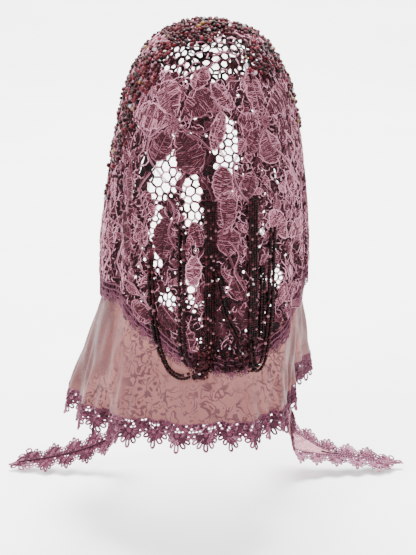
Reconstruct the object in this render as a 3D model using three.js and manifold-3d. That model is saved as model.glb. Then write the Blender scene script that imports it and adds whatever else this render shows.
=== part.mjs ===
// Beaded lace head covering with a tulle veil, two ties and hanging bead strings.
// Millimetres, +Z up. The origin is the inner top of the crown, and the wearer faces +Y.
import * as THREE from 'three';
import Module from 'manifold-3d';

// Driving dimensions: lace cap
const capWidth = 194;
const capBackReach = 111;
const capFrontReach = 96;
const capDrop = 300;
const laceWall = 1.4;
const netGapShare = 0.74;
const foldDepth = 4;
const flowerPetalLength = 27;
const flowerPetalWidth = 15;
const flowerHeart = 5;
const petalRise = 1.6;
const petalSink = 1.2;

// Driving dimensions: scalloped border of the lace
const borderWidth = 14;
const borderScallopPitch = 27;
const borderScallopDepth = 4;

// Driving dimensions: tulle veil, its fan trim and the two ties
const clothWall = 1;
const veilReach = 127;
const veilBack = 113;
const veilDrop = 347;
const veilOverlap = 9;
const veilPleatDepth = 4;
const veilPleats = 9;
const trimLadder = 9;
const trimFanRadius = 17;
const trimFanPitch = 25;
const tieReach = 205;
const tieForward = 84;
const tieDrop = 464;
const tieHangWidth = 24;
const tieSeat = 0.8;
const tieTrimLadder = 3;
const tieTrimFan = 11;

// Driving dimensions: beadwork
const beadFieldLift = 3.2;
const beadFieldValley = 1.8;
const stringWidth = 3.8;
const stringStep = 9.5;
const seedBead = 2.2;
const bundleDepth = 4.6;
const clusterRise = 3.4;
const beadSeat = 0.7;
const pieceGap = 0.3;

// Grid densities
const netRows = 16;
const profileSamples = 160;
const surfaceStep = 0.5;
const scallopSteps = 3;
const fanSteps = 4;
const veilRows = 5;
const stringSides = 8;

// Half profile of the lace, a row per level. Drop is a share of capDrop, side of half capWidth, back of
// capBackReach, front of capFrontReach, and lean, to the right, of half capWidth.
const CAP_SECTIONS = [
  { drop: 0, side: 0, back: 0, front: 0, lean: 0.03 },
  { drop: 0.012, side: 0.255, back: 0.25, front: 0.29, lean: 0.03 },
  { drop: 0.053, side: 0.5, back: 0.54, front: 0.6, lean: 0.03 },
  { drop: 0.117, side: 0.65, back: 0.72, front: 0.79, lean: 0.03 },
  { drop: 0.177, side: 0.736, back: 0.82, front: 0.885, lean: 0.03 },
  { drop: 0.238, side: 0.797, back: 0.883, front: 0.937, lean: 0.03 },
  { drop: 0.332, side: 0.852, back: 0.937, front: 0.969, lean: 0.028 },
  { drop: 0.427, side: 0.895, back: 0.955, front: 0.979, lean: 0.018 },
  { drop: 0.553, side: 0.942, back: 0.964, front: 0.99, lean: 0.004 },
  { drop: 0.68, side: 0.968, back: 0.973, front: 0.995, lean: -0.008 },
  { drop: 0.813, side: 0.975, back: 0.986, front: 1, lean: -0.012 },
  { drop: 1, side: 0.985, back: 1, front: 1, lean: -0.012 },
  { drop: 1.15, side: 0.985, back: 1.01, front: 1, lean: -0.012 },
];

// Lower edge of the net, as a share of capDrop, by azimuth in degrees: 0 is the back, 90 the right side.
// It runs low round the back and rises in an arch over the face.
const NET_EDGE = [
  { azimuth: -180, drop: 0.267 },
  { azimuth: -160, drop: 0.28 },
  { azimuth: -145, drop: 0.367 },
  { azimuth: -134, drop: 0.55 },
  { azimuth: -125, drop: 0.71 },
  { azimuth: -115, drop: 0.773 },
  { azimuth: -100, drop: 0.793 },
  { azimuth: -80, drop: 0.783 },
  { azimuth: -54, drop: 0.77 },
  { azimuth: -37, drop: 0.83 },
  { azimuth: -24, drop: 0.877 },
  { azimuth: -8, drop: 0.917 },
  { azimuth: 16, drop: 0.95 },
  { azimuth: 27, drop: 0.935 },
  { azimuth: 48, drop: 0.877 },
  { azimuth: 65, drop: 0.783 },
  { azimuth: 90, drop: 0.737 },
  { azimuth: 105, drop: 0.727 },
  { azimuth: 115, drop: 0.713 },
  { azimuth: 125, drop: 0.66 },
  { azimuth: 134, drop: 0.52 },
  { azimuth: 145, drop: 0.36 },
  { azimuth: 160, drop: 0.28 },
  { azimuth: 180, drop: 0.267 },
];

// Soft upright folds of the lace. Width is in degrees, and rise is a share of foldDepth.
const FOLDS = [
  { azimuth: -66, width: 12, rise: 0.8 },
  { azimuth: -44, width: 9, rise: 0.7 },
  { azimuth: -25, width: 9, rise: -1 },
  { azimuth: -9, width: 8, rise: 0.6 },
  { azimuth: 7, width: 6, rise: -0.9 },
  { azimuth: 18, width: 7, rise: 0.7 },
  { azimuth: 34, width: 8, rise: -0.5 },
  { azimuth: 50, width: 8, rise: 0.7 },
  { azimuth: 66, width: 9, rise: -0.7 },
  { azimuth: 82, width: 9, rise: 0.6 },
];
const FOLD_START = 0.2;
const FOLD_FULL = 0.75;

// Column lines of the net in front of the ears, in degrees; round the back they are evenly spaced
const BACK_NET_HALF_ANGLE = 100;
const BACK_NET_STEP = 10;
const FRONT_NET_LINES = [110, 119, 127, 135, 145, 160];
const NET_GAP_ROWS = { first: 4, last: 13 };
const NET_GAP_HALF_ANGLE = 92;
const FACE_ARCH = [119, 135];

// The two large flowers at the back of the crown. Distance is measured down the lace from the crown top,
// turn is the first petal's direction in degrees.
const FLOWERS = [
  { azimuth: -17, distance: 136, petals: 5, turn: 12 },
  { azimuth: 37, distance: 132, petals: 5, turn: 40 },
];

// Tulle hem seen from above, a row per station: the azimuth where it is sewn inside the lace,
// x as a share of veilReach, y of veilBack and drop of veilDrop.
const VEIL_STATIONS = [
  { azimuth: -119, x: -0.735, y: 0.5, drop: 0.965 },
  { azimuth: -104, x: -0.945, y: 0.29, drop: 0.985 },
  { azimuth: -88, x: -1, y: 0.02, drop: 1 },
  { azimuth: -70, x: -0.935, y: -0.33, drop: 1 },
  { azimuth: -50, x: -0.775, y: -0.65, drop: 0.995 },
  { azimuth: -30, x: -0.53, y: -0.87, drop: 0.992 },
  { azimuth: -10, x: -0.19, y: -0.99, drop: 0.992 },
  { azimuth: 10, x: 0.165, y: -1, drop: 0.992 },
  { azimuth: 30, x: 0.42, y: -0.9, drop: 0.985 },
  { azimuth: 50, x: 0.575, y: -0.68, drop: 0.975 },
  { azimuth: 68, x: 0.625, y: -0.4, drop: 0.963 },
  { azimuth: 84, x: 0.63, y: -0.12, drop: 0.953 },
  { azimuth: 98, x: 0.715, y: 0.17, drop: 0.948 },
  { azimuth: 108, x: 0.815, y: 0.4, drop: 0.945 },
  { azimuth: 119, x: 0.755, y: 0.56, drop: 0.945 },
];

// Edges of a tie below its sewn end: x as a share of tieReach, y of tieForward and drop of tieDrop.
// The tie hangs in front of the neck and then runs outwards along the level it rests on.
const TIES = [
  {
    name: 'tie_left',
    side: -1,
    sewn: -108,
    route: [
      { ax: 0.4, ay: 0.7, adrop: 0.66, bx: 0.455, by: 0.42, bdrop: 0.66 },
      { ax: 0.37, ay: 0.84, adrop: 0.8, bx: 0.42, by: 0.58, bdrop: 0.82 },
      { ax: 0.4, ay: 0.96, adrop: 0.89, bx: 0.44, by: 0.68, bdrop: 0.925 },
      { ax: 0.54, ay: 0.96, adrop: 0.926, bx: 0.54, by: 0.74, bdrop: 0.968 },
      { ax: 0.72, ay: 0.94, adrop: 0.962, bx: 0.72, by: 0.77, bdrop: 0.984 },
      { ax: 0.93, ay: 0.9, adrop: 0.99, bx: 0.93, by: 0.86, bdrop: 0.993 },
    ],
  },
  {
    name: 'tie_right',
    side: 1,
    sewn: 108,
    route: [
      { ax: 0.4, ay: 0.7, adrop: 0.66, bx: 0.445, by: 0.42, bdrop: 0.66 },
      { ax: 0.37, ay: 0.86, adrop: 0.79, bx: 0.42, by: 0.6, bdrop: 0.82 },
      { ax: 0.4, ay: 0.98, adrop: 0.895, bx: 0.43, by: 0.66, bdrop: 0.935 },
      { ax: 0.56, ay: 1, adrop: 0.942, bx: 0.54, by: 0.66, bdrop: 0.972 },
      { ax: 0.74, ay: 0.97, adrop: 0.966, bx: 0.73, by: 0.72, bdrop: 0.985 },
      { ax: 0.93, ay: 0.92, adrop: 0.99, bx: 0.93, by: 0.86, bdrop: 0.994 },
    ],
  },
];
const TIE_STEPS = 3;
const TIE_TRIM_START = 0.46;

// Lower edge of the beaded crown by azimuth: reach is a distance down the lace, as a share of capDrop
const BEAD_FIELD_EDGE = [
  { azimuth: -180, reach: 0.23 },
  { azimuth: -130, reach: 0.27 },
  { azimuth: -95, reach: 0.50 },
  { azimuth: -70, reach: 0.55 },
  { azimuth: -45, reach: 0.33 },
  { azimuth: -15, reach: 0.22 },
  { azimuth: 10, reach: 0.25 },
  { azimuth: 35, reach: 0.29 },
  { azimuth: 60, reach: 0.35 },
  { azimuth: 95, reach: 0.50 },
  { azimuth: 130, reach: 0.27 },
  { azimuth: 180, reach: 0.23 },
];

// Routes of the bead strings over the back of the lace: x as a share of half capWidth, drop of capDrop
const STRINGS = [
  {
    name: 'bead_loop_left_outer',
    route: [
      { x: -0.495, drop: 0.66 }, { x: -0.49, drop: 0.75 }, { x: -0.469, drop: 0.84 }, { x: -0.412, drop: 0.92 },
      { x: -0.32, drop: 0.98 }, { x: -0.216, drop: 1 }, { x: -0.144, drop: 0.993 },
    ],
  },
  {
    name: 'bead_loop_left_inner',
    route: [
      { x: -0.196, drop: 0.55 }, { x: -0.2, drop: 0.667 }, { x: -0.202, drop: 0.783 }, { x: -0.2, drop: 0.88 },
      { x: -0.18, drop: 0.933 }, { x: -0.144, drop: 0.957 },
    ],
  },
  {
    name: 'bead_loop_middle',
    route: [
      { x: 0.129, drop: 0.68 }, { x: 0.16, drop: 0.75 }, { x: 0.206, drop: 0.817 }, { x: 0.263, drop: 0.867 },
      { x: 0.325, drop: 0.89 },
    ],
  },
  {
    name: 'bead_loop_right_outer',
    route: [
      { x: 0.603, drop: 0.57 }, { x: 0.598, drop: 0.683 }, { x: 0.588, drop: 0.8 }, { x: 0.567, drop: 0.893 },
      { x: 0.526, drop: 0.967 }, { x: 0.469, drop: 0.993 }, { x: 0.423, drop: 0.967 }, { x: 0.414, drop: 0.907 },
    ],
  },
  {
    name: 'bead_loop_right_inner',
    route: [
      { x: 0.515, drop: 0.68 }, { x: 0.511, drop: 0.75 }, { x: 0.507, drop: 0.827 }, { x: 0.501, drop: 0.893 },
    ],
  },
];

// Bundles of strings that hang side by side. x is a share of half capWidth, top and bottom of capDrop.
const BUNDLES = [
  { name: 'bead_bundle_centre', strings: 5, pitch: 2.3, x: 0.038, top: 0.473, bottom: 0.897 },
  { name: 'bead_bundle_right', strings: 4, pitch: 2.6, x: 0.412, top: 0.47, bottom: 0.887 },
];
const BUNDLE_ROWS = 6;

// Cluster of beads on the hem where the strings end, in the same shares
const CLUSTER = { left: -0.119, right: 0.376, top: 0.908, bottom: 0.99, columns: 14, rows: 3 };

// Colours
const LACE_COLOUR = 0x96647a;
const TULLE_COLOUR = 0xc9a0a6;
const TRIM_COLOUR = 0x8f627a;
const BEAD_COLOUR = 0x3a1620;
const CROWN_BEAD_COLOUR = 0x6b2436;

const wasm = await Module();
wasm.setup();

const clamp = THREE.MathUtils.clamp;
const smooth = (value, low, high) => THREE.MathUtils.smoothstep(value, low, high);
const radians = THREE.MathUtils.degToRad;

// Value of a table's column between its rows, along a smooth curve through them
function tableValue(rows, key, at, column) {
  const last = rows.length - 1;
  const place = clamp(at, rows[0][key], rows[last][key]);
  let k = 0;
  while (k < last - 1 && place > rows[k + 1][key]) k += 1;
  const slope = (index) => {
    if (index <= 0 || index >= last) return 0;
    const run = rows[index + 1][key] - rows[index - 1][key];
    return (rows[index + 1][column] - rows[index - 1][column]) / run;
  };
  const span = rows[k + 1][key] - rows[k][key];
  const t = (place - rows[k][key]) / span;
  const rise = rows[k + 1][column] - rows[k][column];
  const bend = t * t * (3 - 2 * t);
  const start = slope(k) * span * t * (1 - t) * (1 - t);
  const end = slope(k + 1) * span * t * t * (t - 1);
  return rows[k][column] + rise * bend + start + end;
}

// Profile of the lace at one azimuth: points from the crown top down, each with its distance along the cloth
const profiles = new Map();
function capProfile(azimuth) {
  if (profiles.has(azimuth)) return profiles.get(azimuth);
  const angle = radians(azimuth);
  const behind = Math.cos(angle) > 0;
  const depth = behind ? capBackReach : capFrontReach;
  const rows = CAP_SECTIONS.map((row) => new THREE.Vector3(
    (row.side * Math.sin(angle) + row.lean) * capWidth / 2,
    -(behind ? row.back : row.front) * depth * Math.cos(angle),
    -row.drop * capDrop,
  ));
  const points = new THREE.CatmullRomCurve3(rows, false, 'catmullrom').getPoints(profileSamples);
  const distances = [0];
  for (let k = 1; k < points.length; k += 1) {
    distances.push(distances[k - 1] + points[k].distanceTo(points[k - 1]));
  }
  const profile = { points, distances };
  profiles.set(azimuth, profile);
  return profile;
}

// How far a fold moves the lace outwards at an azimuth and drop
function foldRise(azimuth, drop) {
  const growth = smooth(drop / capDrop, FOLD_START, FOLD_FULL);
  const shape = FOLDS.reduce((sum, fold) => {
    const off = (azimuth - fold.azimuth) / fold.width;
    return sum + fold.rise * Math.exp(-off * off);
  }, 0);
  return foldDepth * growth * shape;
}

// Point of the lace's inner face at a distance down the cloth
function capPoint(azimuth, distance) {
  const { points, distances } = capProfile(azimuth);
  const last = distances.length - 1;
  const place = clamp(distance, 0, distances[last]);
  let k = 0;
  while (k < last - 1 && place > distances[k + 1]) k += 1;
  const t = (place - distances[k]) / (distances[k + 1] - distances[k]);
  const point = points[k].clone().lerp(points[k + 1], t);
  const rise = foldRise(azimuth, -point.z);
  return point.add(new THREE.Vector3(Math.sin(radians(azimuth)), -Math.cos(radians(azimuth)), 0)
    .multiplyScalar(rise));
}

// Distance down the cloth at which the lace reaches a drop
function distanceAtDrop(azimuth, drop) {
  const { points, distances } = capProfile(azimuth);
  let k = 1;
  while (k < points.length - 1 && -points[k].z < drop) k += 1;
  const above = -points[k - 1].z;
  const t = (drop - above) / (-points[k].z - above);
  return distances[k - 1] + t * (distances[k] - distances[k - 1]);
}

// Azimuths of the net's column lines, all the way round
const netLines = [-180, ...[...FRONT_NET_LINES].reverse().map((azimuth) => -azimuth)];
for (let azimuth = -BACK_NET_HALF_ANGLE; azimuth <= BACK_NET_HALF_ANGLE; azimuth += BACK_NET_STEP) {
  netLines.push(azimuth);
}
netLines.push(...FRONT_NET_LINES);

// Point of the lace's inner face between two column lines, where the net runs straight
function lacePoint(azimuth, distance) {
  const lines = [...netLines, 180];
  const place = clamp(azimuth, -180, 180);
  let k = 0;
  while (k < lines.length - 2 && place > lines[k + 1]) k += 1;
  const t = (place - lines[k]) / (lines[k + 1] - lines[k]);
  return capPoint(lines[k], distance).lerp(capPoint(lines[k + 1], distance), t);
}

// Point lifted off the lace's inner face along its outward normal
function liftedPoint(azimuth, distance, lift) {
  const across = lacePoint(azimuth + surfaceStep, distance).sub(lacePoint(azimuth - surfaceStep, distance));
  const down = lacePoint(azimuth, distance + surfaceStep).sub(lacePoint(azimuth, distance - surfaceStep));
  const normal = down.cross(across).normalize();
  return lacePoint(azimuth, distance).addScaledVector(normal, lift);
}

// Distance down the cloth of the net's lower edge
function netEdge(azimuth) {
  return distanceAtDrop(azimuth, capDrop * tableValue(NET_EDGE, 'azimuth', azimuth, 'drop'));
}

// Closed sheet over a grid of points. Lift is how far its inner face lies off them, thickness is the wall at a
// grid point, has says which cells are there, and gap gives the share of a cell that is cut through.
function sheetSolid({
  columns, rows, point, thickness, round = false, pole = false, lift = 0, has = () => true, gap = () => 0,
}) {
  const lines = round ? columns : columns + 1;
  const column = (i) => (round ? (i + columns) % columns : clamp(i, 0, columns));
  const row = (j) => clamp(j, 0, rows);
  const grid = Array.from({ length: lines }, (_, i) => (
    Array.from({ length: rows + 1 }, (__, j) => point(i, j))
  ));
  const at = (i, j) => grid[column(i)][row(j)];
  const present = (i, j) => (round || (i >= 0 && i < columns)) && j >= 0 && j < rows && has(column(i), j);
  const positions = [];
  const faces = [];
  const addPoint = (place) => positions.push(place.x, place.y, place.z) / 3 - 1;
  const outward = (i, j) => {
    if (pole && j === 0) return new THREE.Vector3(0, 0, 1);
    const across = at(i + 1, j).clone().sub(at(i - 1, j));
    const down = at(i, j + 1).clone().sub(at(i, j - 1));
    return down.cross(across).normalize();
  };
  const known = new Map();
  const corner = (i, j, face) => {
    const line = pole && j === 0 ? 0 : column(i);
    const key = `${line} ${j} ${face}`;
    if (!known.has(key)) {
      const height = lift + (face === 'outer' ? thickness(line, j) : 0);
      known.set(key, addPoint(at(line, j).clone().addScaledVector(outward(line, j), height)));
    }
    return known.get(key);
  };
  const addQuad = (a, b, c, d) => {
    if (a !== b && b !== c && c !== a) faces.push(a, b, c);
    if (a !== c && c !== d && d !== a) faces.push(a, c, d);
  };
  const vertex = (id) => new THREE.Vector3().fromArray(positions, id * 3);
  const shrunk = (loop, share) => {
    const centre = loop.reduce((sum, id) => sum.add(vertex(id)), new THREE.Vector3()).divideScalar(loop.length);
    return loop.map((id) => addPoint(centre.clone().lerp(vertex(id), share)));
  };
  const addCell = (i, j) => {
    const corners = [[i, j], [i, j + 1], [i + 1, j + 1], [i + 1, j]];
    const top = corners.map(([a, b]) => corner(a, b, 'outer'));
    const under = corners.map(([a, b]) => corner(a, b, 'inner'));
    const beside = [present(i - 1, j), present(i, j + 1), present(i + 1, j), present(i, j - 1) || (pole && j === 0)];
    beside.forEach((isJoined, k) => {
      const next = (k + 1) % 4;
      if (!isJoined) addQuad(top[next], top[k], under[k], under[next]);
    });
    const share = gap(i, j);
    if (share === 0) {
      addQuad(top[0], top[1], top[2], top[3]);
      addQuad(under[0], under[3], under[2], under[1]);
      return;
    }
    const topHole = shrunk(top, share);
    const underHole = shrunk(under, share);
    for (let k = 0; k < 4; k += 1) {
      const next = (k + 1) % 4;
      addQuad(top[k], top[next], topHole[next], topHole[k]);
      addQuad(under[k], underHole[k], underHole[next], under[next]);
      addQuad(topHole[k], topHole[next], underHole[next], underHole[k]);
    }
  };
  for (let i = 0; i < columns; i += 1) {
    for (let j = 0; j < rows; j += 1) {
      if (has(i, j)) addCell(i, j);
    }
  }
  const geometry = new THREE.BufferGeometry();
  geometry.setAttribute('position', new THREE.Float32BufferAttribute(positions, 3));
  geometry.setIndex(faces);
  return geometry;
}

// Joins closed geometries that overlap into one body
function joined(geometries) {
  const solids = geometries.map((geometry) => new wasm.Manifold(new wasm.Mesh({
    numProp: 3,
    vertProperties: new Float32Array(geometry.attributes.position.array),
    triVerts: new Uint32Array(geometry.index.array),
  })));
  const mesh = solids.reduce((whole, solid) => whole.add(solid)).getMesh();
  const geometry = new THREE.BufferGeometry();
  geometry.setAttribute('position', new THREE.BufferAttribute(mesh.vertProperties, 3));
  geometry.setIndex(new THREE.BufferAttribute(mesh.triVerts, 1));
  return geometry;
}

// Net of the cap, with its gaps cut through
const netPoint = (i, j) => capPoint(netLines[i], netEdge(netLines[i]) * j / netRows);

function laceNet() {
  return sheetSolid({
    columns: netLines.length,
    rows: netRows,
    round: true,
    pole: true,
    point: netPoint,
    thickness: () => laceWall,
    gap: (i, j) => {
      const middle = netLines[i] + BACK_NET_STEP / 2;
      const behind = Math.abs(middle) < NET_GAP_HALF_ANGLE;
      const level = j >= NET_GAP_ROWS.first && j <= NET_GAP_ROWS.last;
      return behind && level && (i + j) % 2 === 0 ? netGapShare : 0;
    },
  });
}

// One petal of a flower, as a low domed leaf set into the net
const PETAL_COLUMNS = 2;
const PETAL_ROWS = 3;
function petal(flower, turn) {
  const direction = new THREE.Vector2(Math.sin(radians(turn)), Math.cos(radians(turn)));
  const side = new THREE.Vector2(direction.y, -direction.x);
  const centreRadius = lacePoint(flower.azimuth, flower.distance).setZ(0).length();
  return sheetSolid({
    columns: PETAL_COLUMNS,
    rows: PETAL_ROWS,
    point: (i, j) => {
      const along = j / PETAL_ROWS;
      const halfWidth = flowerPetalWidth / 2 * (0.25 + 0.75 * Math.sin(Math.PI * (0.12 + 0.8 * along)));
      const reach = flowerHeart * 0.6 + along * flowerPetalLength;
      const offset = direction.clone().multiplyScalar(reach)
        .addScaledVector(side, halfWidth * (2 * i / PETAL_COLUMNS - 1));
      const azimuth = flower.azimuth + THREE.MathUtils.radToDeg(offset.x / centreRadius);
      return liftedPoint(azimuth, flower.distance + offset.y, laceWall - petalSink);
    },
    thickness: (i) => (i === 0 || i === PETAL_COLUMNS ? petalSink + petalRise / 2 : petalSink + petalRise),
  });
}

function laceCap() {
  const petals = FLOWERS.flatMap((flower) => (
    Array.from({ length: flower.petals }, (_, k) => petal(flower, flower.turn + 360 * k / flower.petals))
  ));
  return joined([laceNet(), ...petals]);
}

// Line of points with the distance along it
function measuredLine(points) {
  const distances = [0];
  for (let k = 1; k < points.length; k += 1) {
    distances.push(distances[k - 1] + points[k].distanceTo(points[k - 1]));
  }
  return { points, distances, length: distances[distances.length - 1] };
}

function alongLine(line, distance) {
  const last = line.points.length - 1;
  const place = clamp(distance, 0, line.length);
  let k = 0;
  while (k < last - 1 && place > line.distances[k + 1]) k += 1;
  const t = (place - line.distances[k]) / (line.distances[k + 1] - line.distances[k]);
  return line.points[k].clone().lerp(line.points[k + 1], t);
}

// Point of the lace's inner face below the net's edge, which runs straight between two column lines
function belowEdge(azimuth, below) {
  const lines = [...netLines, 180];
  let k = 0;
  while (k < lines.length - 2 && azimuth > lines[k + 1]) k += 1;
  const t = (azimuth - lines[k]) / (lines[k + 1] - lines[k]);
  const onLine = (line) => capPoint(line, netEdge(line) + below);
  return onLine(lines[k]).lerp(onLine(lines[k + 1]), t);
}

function liftedBelowEdge(azimuth, below, lift) {
  const across = belowEdge(azimuth + surfaceStep, below).sub(belowEdge(azimuth - surfaceStep, below));
  const down = belowEdge(azimuth, below + surfaceStep).sub(belowEdge(azimuth, below - surfaceStep));
  return belowEdge(azimuth, below).addScaledVector(down.cross(across).normalize(), lift);
}

// Scalloped border: it follows the net's edge all the way round, low at the back and up over the face
function laceBorder() {
  const lines = [...netLines, 180];
  const azimuths = netLines.flatMap((azimuth, k) => {
    const run = belowEdge(azimuth, 0).distanceTo(belowEdge(lines[k + 1], 0));
    const parts = Math.max(1, Math.round(run * scallopSteps / borderScallopPitch));
    return Array.from({ length: parts }, (_, part) => (
      THREE.MathUtils.lerp(azimuth, lines[k + 1], part / parts)
    ));
  });
  const columns = azimuths.length;
  const places = azimuths.map((azimuth) => belowEdge(azimuth, 0));
  const sideways = (i) => {
    const along = places[(i + 1) % columns].clone().sub(places[(i + columns - 1) % columns]);
    const out = new THREE.Vector3(places[i].x / capWidth ** 2, places[i].y / (2 * capFrontReach) ** 2, 0);
    return along.cross(out).normalize();
  };
  return sheetSolid({
    columns,
    rows: 1,
    round: true,
    point: (i, j) => {
      const scallop = borderScallopDepth * Math.sin(Math.PI * (i % scallopSteps) / scallopSteps);
      const depth = j === 0 ? pieceGap : borderWidth + scallop;
      const arch = smooth(Math.abs(azimuths[i]), ...FACE_ARCH);
      const hanging = belowEdge(azimuths[i], depth);
      return hanging.lerp(places[i].clone().addScaledVector(sideways(i), depth), arch);
    },
    thickness: () => laceWall,
  });
}

// Tulle veil: sewn inside the lace above its border, then falling to the hem
const veilFirst = VEIL_STATIONS[0].azimuth;
const veilLast = VEIL_STATIONS[VEIL_STATIONS.length - 1].azimuth;
const veilLines = netLines.filter((azimuth) => azimuth >= veilFirst && azimuth <= veilLast)
  .flatMap((azimuth, k, lines) => (k === 0 ? [azimuth] : [(azimuth + lines[k - 1]) / 2, azimuth]));

function veilPoint(azimuth, fall) {
  const inside = -(pieceGap + clothWall);
  const release = borderWidth + borderScallopDepth;
  const sewnShare = 1 / veilRows;
  if (fall <= sewnShare) {
    return liftedBelowEdge(azimuth, THREE.MathUtils.lerp(-veilOverlap, release, fall / sewnShare), inside);
  }
  const start = liftedBelowEdge(azimuth, release, inside);
  const station = (column) => tableValue(VEIL_STATIONS, 'azimuth', azimuth, column);
  const end = new THREE.Vector3(
    station('x') * veilReach,
    station('y') * veilBack,
    -station('drop') * veilDrop,
  );
  const t = (fall - sewnShare) / (1 - sewnShare);
  const point = start.lerp(end, t);
  const share = (azimuth - veilFirst) / (veilLast - veilFirst);
  const pleat = veilPleatDepth * t * t * Math.sin(2 * Math.PI * veilPleats * share);
  return point.add(new THREE.Vector3(end.x, end.y, 0).normalize().multiplyScalar(pleat));
}

function tulleVeil() {
  return sheetSolid({
    columns: veilLines.length - 1,
    rows: veilRows,
    point: (i, j) => veilPoint(veilLines[i], j / veilRows),
    thickness: () => clothWall,
  });
}

// Band of fans along a line: hang gives the direction in which the fans lie at a distance along it
function fanBand({ line, hang, ladder, fan, wall }) {
  const fans = Math.max(2, Math.round(line.length / trimFanPitch));
  const columns = fans * fanSteps;
  return sheetSolid({
    columns,
    rows: 1,
    point: (i, j) => {
      const distance = line.length * i / columns;
      const across = 2 * ((i % fanSteps) / fanSteps) - 1;
      const depth = ladder + fan * Math.sqrt(Math.max(0.08, 1 - across * across));
      return alongLine(line, distance).addScaledVector(hang(distance), j === 0 ? pieceGap : depth);
    },
    thickness: () => wall,
  });
}

function veilTrim() {
  const hem = veilLines.map((azimuth) => veilPoint(azimuth, 1));
  const line = measuredLine(hem);
  const falls = veilLines.map((azimuth, k) => (
    hem[k].clone().sub(veilPoint(azimuth, 1 - 1 / veilRows)).normalize()
  ));
  const down = new THREE.Vector3(0, 0, -1);
  const hang = (distance) => {
    let k = 0;
    while (k < hem.length - 2 && distance > line.distances[k + 1]) k += 1;
    const t = (distance - line.distances[k]) / (line.distances[k + 1] - line.distances[k]);
    return falls[k].clone().lerp(falls[k + 1], clamp(t, 0, 1)).lerp(down, 0.5).normalize();
  };
  return fanBand({ line, hang, ladder: trimLadder, fan: trimFanRadius, wall: clothWall });
}

// Ties: two edges that start inside the lace in front of the ear and meet near the tip
function tieEdges(tie) {
  const halfAngle = THREE.MathUtils.radToDeg(tieHangWidth / capWidth);
  const inside = -(pieceGap + clothWall + tieSeat + clothWall);
  const sewnPoint = (azimuth, below) => liftedBelowEdge(azimuth, below - veilOverlap, inside);
  const place = (x, y, drop) => new THREE.Vector3(
    tie.side * x * tieReach,
    y * tieForward,
    -drop * tieDrop,
  );
  const front = tie.sewn + tie.side * halfAngle;
  const back = tie.sewn - tie.side * halfAngle;
  const release = veilOverlap + borderWidth;
  const edgeA = [sewnPoint(front, 0), sewnPoint(front, release)];
  const edgeB = [sewnPoint(back, 0), sewnPoint(back, release)];
  tie.route.forEach((row) => {
    edgeA.push(place(row.ax, row.ay, row.adrop));
    edgeB.push(place(row.bx, row.by, row.bdrop));
  });
  return [edgeA, edgeB].map((points) => new THREE.CatmullRomCurve3(points, false, 'catmullrom'));
}

function tieSheet(tie) {
  const [edgeA, edgeB] = tieEdges(tie);
  const rows = (tie.route.length + 1) * TIE_STEPS;
  const [first, second] = tie.side < 0 ? [edgeA, edgeB] : [edgeB, edgeA];
  return sheetSolid({
    columns: 2,
    rows,
    point: (i, j) => first.getPoint(j / rows).lerp(second.getPoint(j / rows), i / 2),
    thickness: () => clothWall,
  });
}

// Fan trim of a tie: out along one edge, round the tip and back along the other
const TIE_EDGE_SAMPLES = 60;
function tieTrim(tie) {
  const [edgeA, edgeB] = tieEdges(tie);
  const [first, second] = tie.side < 0 ? [edgeA, edgeB] : [edgeB, edgeA];
  const share = (k) => TIE_TRIM_START + (1 - TIE_TRIM_START) * k / TIE_EDGE_SAMPLES;
  const outwards = (edge, other, t) => edge.getPoint(t).sub(other.getPoint(t)).normalize();
  const tip = edgeA.getPoint(1).sub(edgeA.getPoint(0.97)).normalize();
  const out = [];
  const back = [];
  for (let k = 0; k <= TIE_EDGE_SAMPLES; k += 1) {
    const t = share(k);
    const turn = smooth(t, 0.93, 1);
    out.push({ point: second.getPoint(t), hang: outwards(second, first, t).lerp(tip, turn).normalize() });
    back.unshift({ point: first.getPoint(t), hang: outwards(first, second, t).lerp(tip, turn).normalize() });
  }
  const stations = [...out, ...back];
  const line = measuredLine(stations.map((station) => (
    station.point.clone().addScaledVector(station.hang, pieceGap / 2)
  )));
  const hang = (distance) => {
    let k = 0;
    while (k < stations.length - 2 && distance > line.distances[k + 1]) k += 1;
    const t = (distance - line.distances[k]) / Math.max(pieceGap, line.distances[k + 1] - line.distances[k]);
    return stations[k].hang.clone().lerp(stations[k + 1].hang, clamp(t, 0, 1)).normalize();
  };
  return fanBand({ line, hang, ladder: tieTrimLadder, fan: tieTrimFan, wall: clothWall });
}

// Beads sewn close together over the crown, as one knobbly crust on the lace
function crownBeadField() {
  return sheetSolid({
    columns: netLines.length,
    rows: netRows,
    round: true,
    pole: true,
    lift: laceWall + pieceGap,
    point: netPoint,
    thickness: (i, j) => ((i + j) % 2 === 0 ? beadFieldLift : beadFieldValley),
    has: (i, j) => {
      const nextLine = i + 1 < netLines.length ? netLines[i + 1] : 180;
      const reach = tableValue(BEAD_FIELD_EDGE, 'azimuth', netLines[i], 'reach') * capDrop;
      return Math.max(netEdge(netLines[i]), netEdge(nextLine)) * (j + 1) / netRows < reach;
    },
  });
}

// Point off the back of the lace, from shares of half capWidth across and of capDrop down
const PLACE_ROUNDS = 6;
function offBack(x, drop, lift) {
  const depth = drop * capDrop;
  let azimuth = THREE.MathUtils.radToDeg(Math.asin(clamp(x, -1, 1)));
  for (let k = 0; k < PLACE_ROUNDS; k += 1) {
    const reached = lacePoint(azimuth, distanceAtDrop(azimuth, depth)).x * 2 / capWidth;
    azimuth += THREE.MathUtils.radToDeg(x - reached);
  }
  return liftedPoint(azimuth, distanceAtDrop(azimuth, depth), lift);
}

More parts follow.
